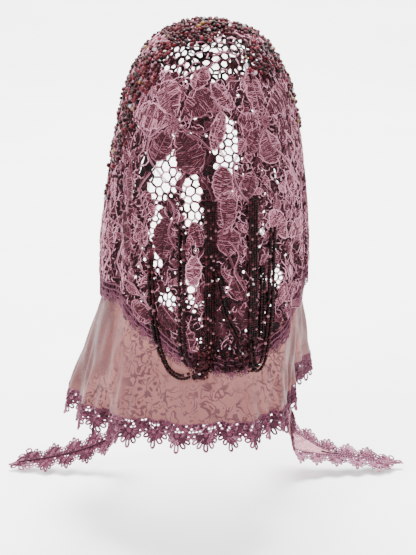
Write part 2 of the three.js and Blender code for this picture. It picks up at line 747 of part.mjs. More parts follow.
// String of two rows of seed beads, as a plain tube over the lace
function beadString(route) {
  const lift = laceWall + beadSeat + stringWidth / 2;
  const points = route.map((place) => offBack(place.x, place.drop, lift));
  const anchor = points[0].clone();
  const path = new THREE.CatmullRomCurve3(points.map((point) => point.sub(anchor)));
  const section = new THREE.Shape(Array.from({ length: stringSides }, (_, k) => {
    const turn = 2 * Math.PI * (k + 0.5) / stringSides;
    return new THREE.Vector2(Math.cos(turn), Math.sin(turn)).multiplyScalar(stringWidth / 2);
  }));
  const steps = Math.round(path.getLength() / stringStep);
  const geometry = new THREE.ExtrudeGeometry(section, { steps, bevelEnabled: false, extrudePath: path });
  return { geometry, anchor };
}

// Bundle of strings side by side, with a ridge for each string
function beadBundle(bundle) {
  const columns = bundle.strings * 2;
  const width = bundle.strings * bundle.pitch;
  const lift = laceWall + beadSeat;
  return sheetSolid({
    columns,
    rows: BUNDLE_ROWS,
    point: (i, j) => offBack(
      bundle.x + width * (2 * i / columns - 1) / capWidth,
      THREE.MathUtils.lerp(bundle.top, bundle.bottom, j / BUNDLE_ROWS),
      lift,
    ),
    thickness: (i) => (i % 2 === 1 ? bundleDepth : bundleDepth - seedBead / 2),
  });
}

function hemCluster() {
  return sheetSolid({
    columns: CLUSTER.columns,
    rows: CLUSTER.rows,
    point: (i, j) => offBack(
      THREE.MathUtils.lerp(CLUSTER.left, CLUSTER.right, i / CLUSTER.columns),
      THREE.MathUtils.lerp(CLUSTER.top, CLUSTER.bottom, j / CLUSTER.rows),
      laceWall + beadSeat,
    ),
    thickness: (i, j) => ((i + j) % 2 === 0 ? clusterRise : clusterRise - seedBead / 2),
  });
}

// Meshes, grouped as the object is put together
function cloth(name, geometry, color, roughness) {
  geometry.computeVertexNormals();
  const mesh = new THREE.Mesh(geometry, new THREE.MeshStandardMaterial({ color, roughness, metalness: 0 }));
  mesh.name = name;
  return mesh;
}

const lace = new THREE.Group();
lace.add(cloth('lace_cap', laceCap(), LACE_COLOUR, 0.8));
lace.add(cloth('lace_border', laceBorder(), LACE_COLOUR, 0.8));

const veil = new THREE.Group();
veil.add(cloth('tulle_veil', tulleVeil(), TULLE_COLOUR, 0.9));
veil.add(cloth('veil_trim', veilTrim(), TRIM_COLOUR, 0.8));
TIES.forEach((tie) => {
  veil.add(cloth(tie.name, tieSheet(tie), TULLE_COLOUR, 0.9));
  veil.add(cloth(`${tie.name}_trim`, tieTrim(tie), TRIM_COLOUR, 0.8));
});

const beadwork = new THREE.Group();
beadwork.add(cloth('crown_bead_field', crownBeadField(), CROWN_BEAD_COLOUR, 0.25));
STRINGS.forEach(({ name, route }) => {
  const { geometry, anchor } = beadString(route);
  const string = cloth(name, geometry, BEAD_COLOUR, 0.25);
  string.position.copy(anchor);
  beadwork.add(string);
});
BUNDLES.forEach((bundle) => beadwork.add(cloth(bundle.name, beadBundle(bundle), BEAD_COLOUR, 0.25)));
beadwork.add(cloth('hem_bead_cluster', hemCluster(), BEAD_COLOUR, 0.25));

const headCovering = new THREE.Group();
headCovering.add(lace, veil, beadwork);
export default headCovering;
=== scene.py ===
import math

import bpy
import numpy as np
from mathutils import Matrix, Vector
from mathutils.bvhtree import BVHTree
from mathutils.geometry import delaunay_2d_cdt


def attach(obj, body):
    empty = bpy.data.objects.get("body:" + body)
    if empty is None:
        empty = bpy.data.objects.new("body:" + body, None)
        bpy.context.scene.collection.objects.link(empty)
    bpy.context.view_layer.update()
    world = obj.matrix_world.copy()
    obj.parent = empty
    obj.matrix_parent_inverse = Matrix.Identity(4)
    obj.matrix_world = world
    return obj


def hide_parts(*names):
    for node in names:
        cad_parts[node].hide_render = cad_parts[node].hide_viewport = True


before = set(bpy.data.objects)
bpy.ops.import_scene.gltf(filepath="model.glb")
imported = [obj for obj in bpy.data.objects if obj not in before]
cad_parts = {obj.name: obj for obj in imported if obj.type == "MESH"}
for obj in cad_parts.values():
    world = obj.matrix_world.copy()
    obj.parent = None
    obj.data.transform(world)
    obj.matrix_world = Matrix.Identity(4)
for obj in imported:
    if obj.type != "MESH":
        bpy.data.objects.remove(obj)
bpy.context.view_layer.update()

rng = np.random.default_rng(11)
MM = 0.001

# Sizes and tables, millimetres as in the solids
CAP_WIDTH, CAP_BACK, CAP_FRONT, CAP_DROP = 194.0, 111.0, 96.0, 300.0
FOLD_DEPTH, FOLD_FULL = 4.0, 0.75
BORDER_WIDTH, BORDER_SCALLOP = 14.0, 4.0
CLOTH, GAP = 1.0, 0.3
VEIL_REACH, VEIL_BACK, VEIL_DROP, VEIL_OVERLAP = 127.0, 113.0, 347.0, 9.0
PLEAT_DEPTH, PLEATS = 4.0, 9
LADDER, FAN, FAN_PITCH = 9.0, 17.0, 25.0
TIE_REACH, TIE_FORWARD, TIE_DROP, TIE_WIDTH = 205.0, 84.0, 464.0, 24.0
TIE_TRIM_START, TIE_LADDER, TIE_FAN = 0.46, 3.0, 12.0
TIE_SEEN, TIE_FOLDED = 0.43, 0.06
# where each tie narrows to its fold: start and end, as shares of its length
TIE_NARROWS = {"left": (0.46, 0.62), "right": (0.5, 0.83)}
LADDER_RINGS, LADDER_ROW, FAN_LOOPS = 8, 3.0, 7
# at most how many gaps of the net, small leaves, short raised threads and beads at the sides
NET_PLACES, SMALL_LEAVES, CLOSE_THREADS, SIDE_BEADS = 9000, 260, 4200, 760
# a leaf wider than this, in millimetres, has stitches of its own
LARGE_LEAF = 11
# azimuth where the net is parted in a piece at the back and one at the front
PARTED = 90
# pitches round the border, in millimetres
SCALLOP_PITCH, RING_PITCH, PICOT_PITCH, CROSSING_PITCH = 13.5, 4.4, 3.375, 1.9
VEIL_COLUMNS, VEIL_ROWS, TIE_STEPS = 280, 44, 240
# sizes of the beads on loops and bundles, and how far the crown's beads keep from each other
LOOP_BEAD, BUNDLE_BEAD, BEAD_APART = 3.0, 2.5, 2.7

# drop, side, back, front, lean to the right
CAP_SECTIONS = np.array([
    (0, 0, 0, 0, 0.03), (0.012, 0.255, 0.25, 0.29, 0.03), (0.053, 0.5, 0.54, 0.6, 0.03),
    (0.117, 0.65, 0.72, 0.79, 0.03), (0.177, 0.736, 0.82, 0.885, 0.03), (0.238, 0.797, 0.883, 0.937, 0.03),
    (0.332, 0.852, 0.937, 0.969, 0.028), (0.427, 0.895, 0.955, 0.979, 0.018),
    (0.553, 0.942, 0.964, 0.99, 0.004), (0.68, 0.968, 0.973, 0.995, -0.008),
    (0.813, 0.975, 0.986, 1, -0.012), (1, 0.985, 1, 1, -0.012), (1.15, 0.985, 1.01, 1, -0.012),
])
# the net's lower edge, where the border starts: azimuth, drop as a share of the cap's
NET_EDGE = np.array([
    (-180, 0.267), (-160, 0.28), (-145, 0.367), (-134, 0.55), (-125, 0.71), (-115, 0.773), (-100, 0.793),
    (-80, 0.783), (-54, 0.77), (-37, 0.83), (-24, 0.877), (-8, 0.917), (16, 0.95), (27, 0.935), (48, 0.877),
    (65, 0.783), (90, 0.737), (105, 0.727), (115, 0.713), (125, 0.66), (134, 0.52), (145, 0.36), (160, 0.28),
    (180, 0.267),
])
# azimuth, width, rise, start of the fold as a share of the drop
FOLDS = [
    (-84, 5, 0.5, 0.3), (-66, 9, 0.8, 0.2), (-55, 5, -0.8, 0.3), (-44, 7, 0.8, 0.2), (-34, 4, 0.5, 0.4),
    (-25, 8, -1.0, 0.2), (-9, 8, 0.7, 0.2), (4, 4, -1.1, 0.12), (13, 5, 0.8, 0.2), (22, 5, 0.4, 0.3),
    (34, 8, -0.5, 0.2), (50, 8, 0.7, 0.2), (58, 4, -0.7, 0.3), (66, 5, 0.4, 0.3), (75, 5, -0.7, 0.3),
    (84, 8, 0.6, 0.2), (102, 6, -0.4, 0.3), (-102, 6, -0.4, 0.3),
]
FACE_ARCH = (119, 135)
# azimuth where sewn, x, y, drop
VEIL_STATIONS = np.array([
    (-119, -0.735, 0.5, 0.965), (-104, -0.945, 0.29, 0.985), (-88, -1, 0.02, 1), (-70, -0.935, -0.33, 1),
    (-50, -0.775, -0.65, 0.995), (-30, -0.53, -0.87, 0.992), (-10, -0.19, -0.99, 0.992),
    (10, 0.165, -1, 0.992), (30, 0.42, -0.9, 0.985), (50, 0.575, -0.68, 0.975), (68, 0.625, -0.4, 0.963),
    (84, 0.63, -0.12, 0.953), (98, 0.715, 0.17, 0.948), (108, 0.815, 0.4, 0.945), (119, 0.755, 0.56, 0.945),
])
# side, azimuth where sewn, and stations along the tie: x, y and drop of one edge, then of the other
TIES = {
    "left": (-1, -108, [
        (0.4, 0.7, 0.66, 0.455, 0.42, 0.66), (0.37, 0.84, 0.8, 0.42, 0.58, 0.82),
        (0.4, 0.96, 0.89, 0.44, 0.68, 0.925), (0.54, 0.96, 0.926, 0.54, 0.74, 0.968),
        (0.72, 0.94, 0.962, 0.72, 0.77, 0.984), (0.93, 0.9, 0.99, 0.93, 0.86, 0.993)]),
    "right": (1, 108, [
        (0.4, 0.7, 0.66, 0.445, 0.42, 0.66), (0.37, 0.86, 0.79, 0.42, 0.6, 0.82),
        (0.4, 0.98, 0.895, 0.43, 0.66, 0.935), (0.56, 1, 0.942, 0.54, 0.66, 0.972),
        (0.74, 0.97, 0.966, 0.73, 0.72, 0.985), (0.93, 0.92, 0.99, 0.93, 0.86, 0.994)]),
}
# x as a share of half the cap's width, drop as a share of the cap's
STRINGS = {
    "left_outer": [
        (-0.495, 0.66), (-0.49, 0.75), (-0.469, 0.84), (-0.412, 0.92), (-0.32, 0.98), (-0.216, 1),
        (-0.144, 0.993)],
    "left_inner": [
        (-0.196, 0.55), (-0.2, 0.667), (-0.202, 0.783), (-0.2, 0.88), (-0.18, 0.933), (-0.144, 0.957)],
    "middle": [(0.129, 0.68), (0.16, 0.75), (0.206, 0.817), (0.263, 0.867), (0.325, 0.89)],
    "right_outer": [
        (0.603, 0.57), (0.598, 0.683), (0.588, 0.8), (0.567, 0.893), (0.526, 0.967), (0.469, 0.993),
        (0.423, 0.967), (0.414, 0.907)],
    "right_inner": [(0.515, 0.68), (0.511, 0.75), (0.507, 0.827), (0.501, 0.893)],
}
# how far the two rows of each double string lie from its middle, in millimetres
STRING_APART = {"left_outer": 1.6, "left_inner": 2.2, "middle": 1.5, "right_outer": 2.2, "right_inner": 1.6}
# number of strings, pitch in millimetres, x, top and bottom as in STRINGS
BUNDLES = {"centre": (5, 2.3, 0.038, 0.473, 0.897), "right": (4, 2.6, 0.412, 0.47, 0.887)}

# Camera, as the photograph was taken: its place in metres, its tilt, and its focal length and middle in pixels
EYE = np.array((0.0028, -1.54, 0.215))
PITCH = math.radians(16.5)
FOCAL, CENTRE_X, CENTRE_Y, FRAME_H = 1700.0, 208.0, 277.5, 555.0
SENSOR = 36.0
RIGHT = np.array((1.0, 0.0, 0.0))
AHEAD = np.array((0.0, math.cos(PITCH), -math.sin(PITCH)))
ABOVE = np.array((0.0, math.sin(PITCH), math.cos(PITCH)))


def make_camera():
    data = bpy.data.cameras.new("view_camera")
    data.sensor_fit = "VERTICAL"
    data.sensor_height = SENSOR
    data.lens = FOCAL / FRAME_H * SENSOR
    camera = bpy.data.objects.new("view_camera", data)
    camera.location = EYE
    camera.rotation_euler = (math.pi / 2 - PITCH, 0, 0)
    bpy.context.scene.collection.objects.link(camera)
    bpy.context.scene.camera = camera


def photo_ray(px, py):
    ray = AHEAD * FOCAL + RIGHT * (px - CENTRE_X) - ABOVE * (py - CENTRE_Y)
    return ray / np.linalg.norm(ray)


def to_photo(points):
    rel = points - EYE
    depth = rel @ AHEAD
    return CENTRE_X + FOCAL * rel[..., 0] / depth, CENTRE_Y - FOCAL * (rel @ ABOVE) / depth


# Small maths
def smooth(value, low, high):
    t = np.clip((np.asarray(value, float) - low) / (high - low), 0, 1)
    return t * t * (3 - 2 * t)


def unit(v):
    return v / np.maximum(np.linalg.norm(v, axis=-1, keepdims=True), 1e-12)


def table_value(rows, at, column):
    keys, values = rows[:, 0], rows[:, column]
    slopes = np.zeros(len(keys))
    slopes[1:-1] = (values[2:] - values[:-2]) / (keys[2:] - keys[:-2])
    place = np.clip(at, keys[0], keys[-1])
    k = np.clip(np.searchsorted(keys, place) - 1, 0, len(keys) - 2)
    span = keys[k + 1] - keys[k]
    t = (place - keys[k]) / span
    return (values[k] + (values[k + 1] - values[k]) * t * t * (3 - 2 * t)
            + slopes[k] * span * t * (1 - t) ** 2 + slopes[k + 1] * span * t * t * (t - 1))


def catmull(values, samples):
    values = np.asarray(values, float)
    n = len(values)
    ends = np.vstack([2 * values[0] - values[1], values, 2 * values[-1] - values[-2]])
    t = np.linspace(0, n - 1, samples + 1)
    k = np.minimum(t.astype(int), n - 2)
    w = (t - k)[:, None]
    p0, p1, p2, p3 = ends[k], ends[k + 1], ends[k + 2], ends[k + 3]
    return ((2 * w ** 3 - 3 * w ** 2 + 1) * p1 + (w ** 3 - 2 * w ** 2 + w) * (p2 - p0) / 2
            + (3 * w ** 2 - 2 * w ** 3) * p2 + (w ** 3 - w ** 2) * (p3 - p1) / 2)


def lengths_along(points):
    return np.concatenate([[0], np.cumsum(np.linalg.norm(np.diff(points, axis=0), axis=1))])


def along_rows(at, keys, rows):
    """Rows of a table interpolated at places along its keys."""
    return np.stack([np.interp(at, keys, rows[:, c]) for c in range(rows.shape[1])], axis=-1)


def resample(points, step):
    along = lengths_along(points)
    count = max(2, int(round(along[-1] / step)) + 1)
    return along_rows(np.linspace(0, along[-1], count), along, points)


def circle(count):
    return 2 * math.pi * np.arange(count) / count


# The lace's surface, by azimuth in degrees and distance down it in millimetres
DOWN_STEP = 2.0
AZ = np.arange(-180.0, 181.0, 1.0)
DOWN = np.arange(0.0, 374.0, DOWN_STEP)


def make_surface():
    rows = catmull(CAP_SECTIONS, 160)
    grid = np.zeros((len(AZ), len(DOWN), 3))
    rises = np.zeros((len(AZ), len(DOWN), 1))
    edge = np.zeros(len(AZ))
    for i, azimuth in enumerate(AZ):
        angle = math.radians(azimuth)
        behind = math.cos(angle) > 0
        x = (rows[:, 1] * math.sin(angle) + rows[:, 4]) * CAP_WIDTH / 2
        y = -(rows[:, 2] * CAP_BACK if behind else rows[:, 3] * CAP_FRONT) * math.cos(angle)
        z = -rows[:, 0] * CAP_DROP
        points = np.stack([x, y, z], axis=1)
        along = lengths_along(points)
        grid[i] = along_rows(np.minimum(DOWN, along[-1]), along, points)
        drop = -grid[i, :, 2] / CAP_DROP
        rise = sum(r * np.exp(-((azimuth - a) / w) ** 2) * smooth(drop, s, max(FOLD_FULL, s + 0.3))
                   for a, w, r, s in FOLDS)
        rises[i, :, 0] = rise
        wrinkle = 0.35 * np.sin(azimuth * 0.61 + drop * 9) * np.sin(drop * 14 + azimuth * 0.13)
        lift = FOLD_DEPTH * (rise + 0.25 * wrinkle * smooth(drop, 0.1, 0.4))
        grid[i, :, 0] += lift * math.sin(angle)
        grid[i, :, 1] -= lift * math.cos(angle)
        drop_there = CAP_DROP * float(table_value(NET_EDGE, np.array(azimuth), 1))
        edge[i] = np.interp(drop_there, -points[:, 2], along)
    across = np.gradient(grid, axis=0)
    down = np.gradient(grid, axis=1)
    normal = np.cross(down, across)
    normal[:, 0] = (0, 0, 1)
    return grid, unit(normal), edge, rises


SURFACE, NORMALS, EDGE, RISES = make_surface()


def wrapped(azimuth):
    return (np.asarray(azimuth, float) + 180.0) % 360.0 - 180.0


def sample(table, azimuth, distance):
    azimuth = wrapped(azimuth)
    fu = np.clip(azimuth + 180.0, 0, len(AZ) - 1.001)
    fv = np.clip(np.asarray(distance, float) / DOWN_STEP, 0, len(DOWN) - 1.001)
    iu, iv = fu.astype(int), fv.astype(int)
    tu, tv = (fu - iu)[..., None], (fv - iv)[..., None]
    return ((1 - tu) * (1 - tv) * table[iu, iv] + tu * (1 - tv) * table[iu + 1, iv]
            + (1 - tu) * tv * table[iu, iv + 1] + tu * tv * table[iu + 1, iv + 1])


def on_lace(azimuth, distance, lift=0.0):
    """Point of the lace in millimetres, lifted along its normal, and the normal."""
    normal = unit(sample(NORMALS, azimuth, distance))
    lift = np.asarray(lift, float)
    return sample(SURFACE, azimuth, distance) + normal * lift[..., None], normal


def net_edge(azimuth):
    return np.interp(wrapped(azimuth), AZ, EDGE)


# millimetres of the lace to a radian of azimuth
RING = np.linalg.norm(np.gradient(SURFACE, axis=0), axis=2) * 180 / math.pi
MEAN_RING = np.maximum(RING.mean(axis=0), 0.5)


def ring_at(azimuth, distance):
    return np.maximum(sample(RING[..., None], azimuth, distance)[..., 0], 4.0)


def make_bvh():
    verts = [Vector(p) for p in (SURFACE * MM).reshape(-1, 3)]
    n = len(DOWN)
    quads = [(i * n + j, i * n + j + 1, (i + 1) * n + j + 1, (i + 1) * n + j)
             for i in range(len(AZ) - 1) for j in range(n - 1)]
    return BVHTree.FromPolygons(verts, quads)


LACE_TREE = make_bvh()


def from_photo(px, py):
    """Azimuth and distance of the place on the lace that shows at a pixel of the photograph's frame."""
    ray = photo_ray(px, py)
    hit, _, index, _ = LACE_TREE.ray_cast(Vector(EYE), Vector(ray))
    if hit is None:
        return None
    n = len(DOWN) - 1
    i, j = index // n, index % n
    corner, over, under = SURFACE[i, j], SURFACE[i + 1, j], SURFACE[i, j + 1]
    basis = np.stack([over - corner, under - corner], axis=1)
    share = np.linalg.lstsq(basis, np.array(hit) / MM - corner, rcond=None)[0]
    share = np.clip(share, 0, 1)
    return AZ[i] + share[0], DOWN[j] + DOWN_STEP * share[1]


# places where painted shade darkens the lace or painted light lightens it: centre x, centre y, reach x, reach y
# in pixels, amount
PAINTED_SHADE_ZONES = [
    (205, 328, 62, 26, -0.3), (206, 155, 11, 60, -0.42), (231, 270, 22, 70, -0.2),
    (288, 246, 12, 20, -0.25), (118, 300, 26, 14, -0.12), (128, 190, 9, 60, -0.14),
    (262, 330, 26, 26, -0.16), (285, 180, 18, 40, 0.1), (178, 95, 26, 22, 0.05), (112, 215, 8, 50, 0.08),
    (186, 232, 10, 30, -0.14), (150, 130, 9, 24, 0.08),
]


def shade(azimuth, distance):
    """Painted light and shade on the lace: the folds' crests painted lighter, their valleys and the beaded hem
    painted darker as shade, zones of painted shade and light, and a slow wave of lighter and darker.
    """
    px, py = to_photo(on_lace(azimuth, distance)[0] * MM)
    value = 0.17 * sample(RISES, azimuth, distance)[..., 0]
    for cx, cy, rx, ry, amount in PAINTED_SHADE_ZONES:
        value = value + amount * np.exp(-((px - cx) / rx) ** 2 - ((py - cy) / ry) ** 2)
    return value + 0.07 * np.sin(np.asarray(azimuth) * 0.31 + 1) * np.sin(np.asarray(distance) * 0.09)


# Meshes
# how much lighter each thread is painted on its crest than at its sides: painted highlight on top, painted
# shade at the sides
PAINTED_RIDGE_LIGHT = 0.22
# height and reach along the profile of each form of bead, for a radius of 1
BEAD_FORMS = {
    "round": [(-1.0, 0.0), (-0.8, 0.78), (0.0, 1.0), (0.8, 0.78), (1.0, 0.0)],
    "facet": [(-1.0, 0.0), (-0.85, 0.42), (0.0, 1.0), (0.85, 0.42), (1.0, 0.0)],
    "bugle": [(-1.0, 0.0), (-0.96, 1.0), (0.0, 1.0), (0.96, 1.0), (1.0, 0.0)],
}


class Sculpt:
    """Gathers vertices and faces of many small forms into one mesh."""

    def __init__(self):
        self.verts, self.faces, self.tones, self.uvs, self.count = [], [], [], [], 0

    def add(self, verts, faces, tone=0.5, uv=None):
        verts = np.asarray(verts, float).reshape(-1, 3)
        self.verts.append(verts)
        self.faces.append(np.asarray(faces, np.int64) + self.count)
        tone = np.asarray(tone, float)
        self.tones.append(np.broadcast_to(tone, (len(verts),)) if tone.ndim == 0 else tone)
        self.uvs.append(np.zeros((len(verts), 2)) if uv is None else np.asarray(uv, float).reshape(-1, 2))
        self.count += len(verts)

    def tubes(self, points, normals, radius, sides=4, closed=False, tone=0.5):
        """Tubes along n lines of m points each, all in millimetres."""
        points = np.asarray(points, float)
        n, m = points.shape[:2]
        if closed:
            tangent = np.roll(points, -1, axis=1) - np.roll(points, 1, axis=1)
        else:
            tangent = np.gradient(points, axis=1)
        tangent = unit(tangent)
        side = unit(np.cross(tangent, normals))
        up = np.cross(side, tangent)
        radius = np.broadcast_to(np.asarray(radius, float), (n, m))
        angle = math.pi / 2 + 2 * math.pi * np.arange(sides) / sides
        ring = points[:, :, None] + radius[:, :, None, None] * (
            np.cos(angle)[:, None] * side[:, :, None] + np.sin(angle)[:, None] * up[:, :, None])
        start = (np.arange(n) * m * sides)[:, None, None]
        i = np.arange(m if closed else m - 1)[None, :, None]
        k = np.arange(sides)[None, None, :]
        after, beside = (i + 1) % m, (k + 1) % sides
        quads = np.stack([start + i * sides + k, start + after * sides + k,
                          start + after * sides + beside, start + i * sides + beside], axis=-1)
        tone = np.asarray(tone, float)
        tone = np.broadcast_to(tone if tone.ndim == 0 else tone[:, None, None], (n, m, sides))
        # each tube is painted lighter on its crest and darker at its sides, as painted light and shade
        tone = (tone + PAINTED_RIDGE_LIGHT * np.sin(angle)).ravel()
        along = np.cumsum(np.linalg.norm(np.diff(points, axis=1, prepend=points[:, :1]), axis=2), axis=1)
        uv = np.stack(np.broadcast_arrays(along[:, :, None], k * radius[:, :, None]), axis=-1)
        self.add(ring, quads.reshape(-1, 4), tone, uv)

    def tube(self, line, radius, sides=4, closed=False, tone=0.5):
        """One tube along a line, given as its points and its normals."""
        points, normals = line
        self.tubes(points[None], normals[None], radius, sides, closed, tone)

    def sheet(self, points, tone=0.5, uv=None, closed=False):
        """Grid of points (rows, columns), as one skin; closed joins the last row to the first."""
        rows, columns = points.shape[:2]
        i, j = np.meshgrid(np.arange(rows if closed else rows - 1), np.arange(columns - 1), indexing="ij")
        here, after = i * columns + j, (i + 1) % rows * columns + j
        self.add(points, np.stack([here, after, after + 1, here + 1], axis=-1).reshape(-1, 4), tone, uv)

    def beads(self, centres, axes, radii, squash=0.8, tone=0.5, form="round"):
        """Beads as small turned bodies, each with its hole's axis along axes."""
        centres = np.asarray(centres, float)
        n = len(centres)
        if n == 0:
            return
        profile = BEAD_FORMS[form]
        sides = 8 if form == "round" else 6
        angle = circle(sides)
        verts = [(0, 0, profile[0][0])]
        for height, reach in profile[1:-1]:
            verts += [(reach * math.cos(a), reach * math.sin(a), height) for a in angle]
        verts.append((0, 0, profile[-1][0]))
        verts = np.array(verts)
        faces, last = [], len(verts) - 1
        rings = len(profile) - 2
        for k in range(sides):
            nxt = (k + 1) % sides
            faces.append((0, 1 + nxt, 1 + k))
            faces.append((last, last - sides + k, last - sides + nxt))
            for r in range(rings - 1):
                a, b = 1 + r * sides, 1 + (r + 1) * sides
                faces += [(a + k, a + nxt, b + nxt), (a + k, b + nxt, b + k)]
        faces = np.array(faces)
        axes = unit(np.broadcast_to(np.asarray(axes, float), (n, 3)))
        helper = np.where(np.abs(axes[:, 2:3]) > 0.9, (1.0, 0, 0), (0, 0, 1.0))
        side = unit(np.cross(axes, helper))
        other = np.cross(axes, side)
        radii = np.broadcast_to(np.asarray(radii, float), (n,))
        squash = np.broadcast_to(np.asarray(squash, float), (n,))
        place = (centres[:, None] + radii[:, None, None] * (
            verts[None, :, 0:1] * side[:, None] + verts[None, :, 1:2] * other[:, None]
            + squash[:, None, None] * verts[None, :, 2:3] * axes[:, None]))
        index = faces[None] + (np.arange(n) * len(verts))[:, None, None]
        tone = np.asarray(tone, float)
        if tone.ndim == 1:
            tone = np.repeat(tone, len(verts))
        self.add(place, index.reshape(-1, 3), tone)

    def rings(self, outer, inner, tone_out, tone_in):
        """Flat rings between closed outlines of n forms with m points each."""
        n, m = outer.shape[:2]
        start = (np.arange(n) * 2 * m)[:, None]
        k = np.arange(m)[None]
        after = (k + 1) % m
        quads = np.stack([start + k, start + m + k, start + m + after, start + after], axis=-1)
        points = np.concatenate([outer, inner], axis=1)
        tone = np.repeat(np.stack([tone_out, tone_in], axis=1), m, axis=1)
        self.add(points, quads.reshape(-1, 4), tone.ravel(), points[..., [0, 2]])

    def fans(self, outline, centres, tone):
        """Closed outlines of m points each, filled from their centres."""
        n, m = outline.shape[:2]
        start = (np.arange(n) * (m + 1))[:, None]
        k = np.arange(m)[None]
        faces = np.stack([start + k, start + (k + 1) % m, start + m + 0 * k], axis=-1)
        points = np.concatenate([outline, centres[:, None]], axis=1)
        self.add(points, faces.reshape(-1, 3), np.repeat(tone, m + 1), points[..., [0, 2]])

    def build(self, name, material, flat=False):
        verts = np.concatenate(self.verts) * MM
        mesh = bpy.data.meshes.new(name)
        mesh.vertices.add(len(verts))
        mesh.vertices.foreach_set("co", verts.astype(np.float32).ravel())
        loops = np.concatenate([f.ravel() for f in self.faces]).astype(np.int32)
        sizes = np.concatenate([np.full(len(f), f.shape[1]) for f in self.faces])
        mesh.loops.add(len(loops))
        mesh.loops.foreach_set("vertex_index", loops)
        mesh.polygons.add(len(sizes))
        mesh.polygons.foreach_set("loop_start", np.concatenate([[0], np.cumsum(sizes)[:-1]]).astype(np.int32))
        mesh.polygons.foreach_set("use_smooth", np.full(len(sizes), not flat))
        mesh.update(calc_edges=True)
        tone = mesh.attributes.new("tone", "FLOAT", "POINT")
        tone.data.foreach_set("value", np.concatenate(self.tones).astype(np.float32))
        uv = mesh.uv_layers.new(name="thread")
        uv.data.foreach_set("uv", (np.concatenate(self.uvs)[loops] * MM).astype(np.float32).ravel())
        mesh.materials.append(material)
        piece = bpy.data.objects.new(name, mesh)
        bpy.context.scene.collection.objects.link(piece)
        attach(piece, "root")
        return piece


# Materials
def new_material(name):
    material = bpy.data.materials.new(name)
    material.use_nodes = True
    tree = material.node_tree
    return material, tree, tree.nodes["Principled BSDF"]


def node(tree, kind, **values):
    """A node and its settings; a key that starts with in_ is the name of one of its inputs."""
    made = tree.nodes.new(kind)
    for key, value in values.items():
        if key.startswith("in_"):
            made.inputs[key[3:]].default_value = value
        else:
            setattr(made, key, value)
    return made


def math_node(tree, operation, first, second=None, clamp=False):
    made = node(tree, "ShaderNodeMath", operation=operation, use_clamp=clamp)
    for k, value in enumerate((first, second)):
        if value is None:
            continue
        if isinstance(value, (int, float)):
            made.inputs[k].default_value = value
        else:
            tree.links.new(value, made.inputs[k])
    return made.outputs[0]


def ramp(tree, factor, stops):
    made = node(tree, "ShaderNodeValToRGB")
    elements = made.color_ramp.elements
    while len(elements) < len(stops):
        elements.new(0.5)
    for element, (place, colour) in zip(elements, stops):
        element.position = place
        element.color = (*colour, 1)
    tree.links.new(factor, made.inputs[0])
    return made.outputs[0]


def noise(tree, scale, detail, **more):
    made = node(tree, "ShaderNodeTexNoise", in_Scale=scale, in_Detail=detail, **more)
    tree.links.new(node(tree, "ShaderNodeTexCoord").outputs["Object"], made.inputs["Vector"])
    return made.outputs[0]


def tone_of(tree):
    return node(tree, "ShaderNodeAttribute", attribute_name="tone").outputs["Fac"]


def bump(tree, shader, height, strength, distance):
    made = node(tree, "ShaderNodeBump", in_Strength=strength, in_Distance=distance)
    tree.links.new(height, made.inputs["Height"])
    tree.links.new(made.outputs[0], shader.inputs["Normal"])


def set_inputs(shader, values):
    for name, value in values.items():
        shader.inputs[name].default_value = value


def thread_material(name, dark, middle, light, pitch, slant=0.45, weave=0.36):
    """Satin-stitched thread: ribs along the form's own u and v, fibres, and a tone of its own for each form;
    the crests of ribs and fibres are painted lighter and their hollows darker, as painted light and shade.
    """
    material, tree, shader = new_material(name)
    split = node(tree, "ShaderNodeSeparateXYZ")
    tree.links.new(node(tree, "ShaderNodeUVMap", uv_map="thread").outputs[0], split.inputs[0])
    across = math_node(tree, "ABSOLUTE", split.outputs[1])
    rib = math_node(tree, "ADD", split.outputs[0], math_node(tree, "MULTIPLY", across, slant))
    wobble = math_node(tree, "MULTIPLY", noise(tree, 420.0, 3.0, in_Roughness=0.6), 0.0014)
    rib = math_node(tree, "MULTIPLY", math_node(tree, "ADD", rib, wobble), 2 * math.pi / (pitch * MM))
    rib = math_node(tree, "SINE", rib)
    rib = math_node(tree, "ADD", math_node(tree, "MULTIPLY", rib, 0.5), 0.5)
    fibre = noise(tree, 1500.0, 2.0, in_Roughness=0.7)
    height = math_node(tree, "ADD", math_node(tree, "MULTIPLY", rib, 0.65),
                       math_node(tree, "MULTIPLY", fibre, 0.7))
    # the height of ribs and fibres also colours the thread: painted light on the crests, painted shade in the
    # hollows
    factor = math_node(tree, "ADD", math_node(tree, "MULTIPLY", height, weave),
                       math_node(tree, "MULTIPLY", tone_of(tree), 0.92))
    factor = math_node(tree, "SUBTRACT", factor, 0.14 + weave / 2, clamp=True)
    colour = ramp(tree, factor, [(0.06, dark), (0.48, middle), (0.95, light)])
    tree.links.new(colour, shader.inputs["Base Color"])
    set_inputs(shader, {"Roughness": 0.72, "Sheen Weight": 0.04, "Sheen Roughness": 0.4,
                        "Sheen Tint": (0.95, 0.8, 0.87, 1), "Specular IOR Level": 0.14})
    bump(tree, shader, height, 0.9, 0.0005)
    return material


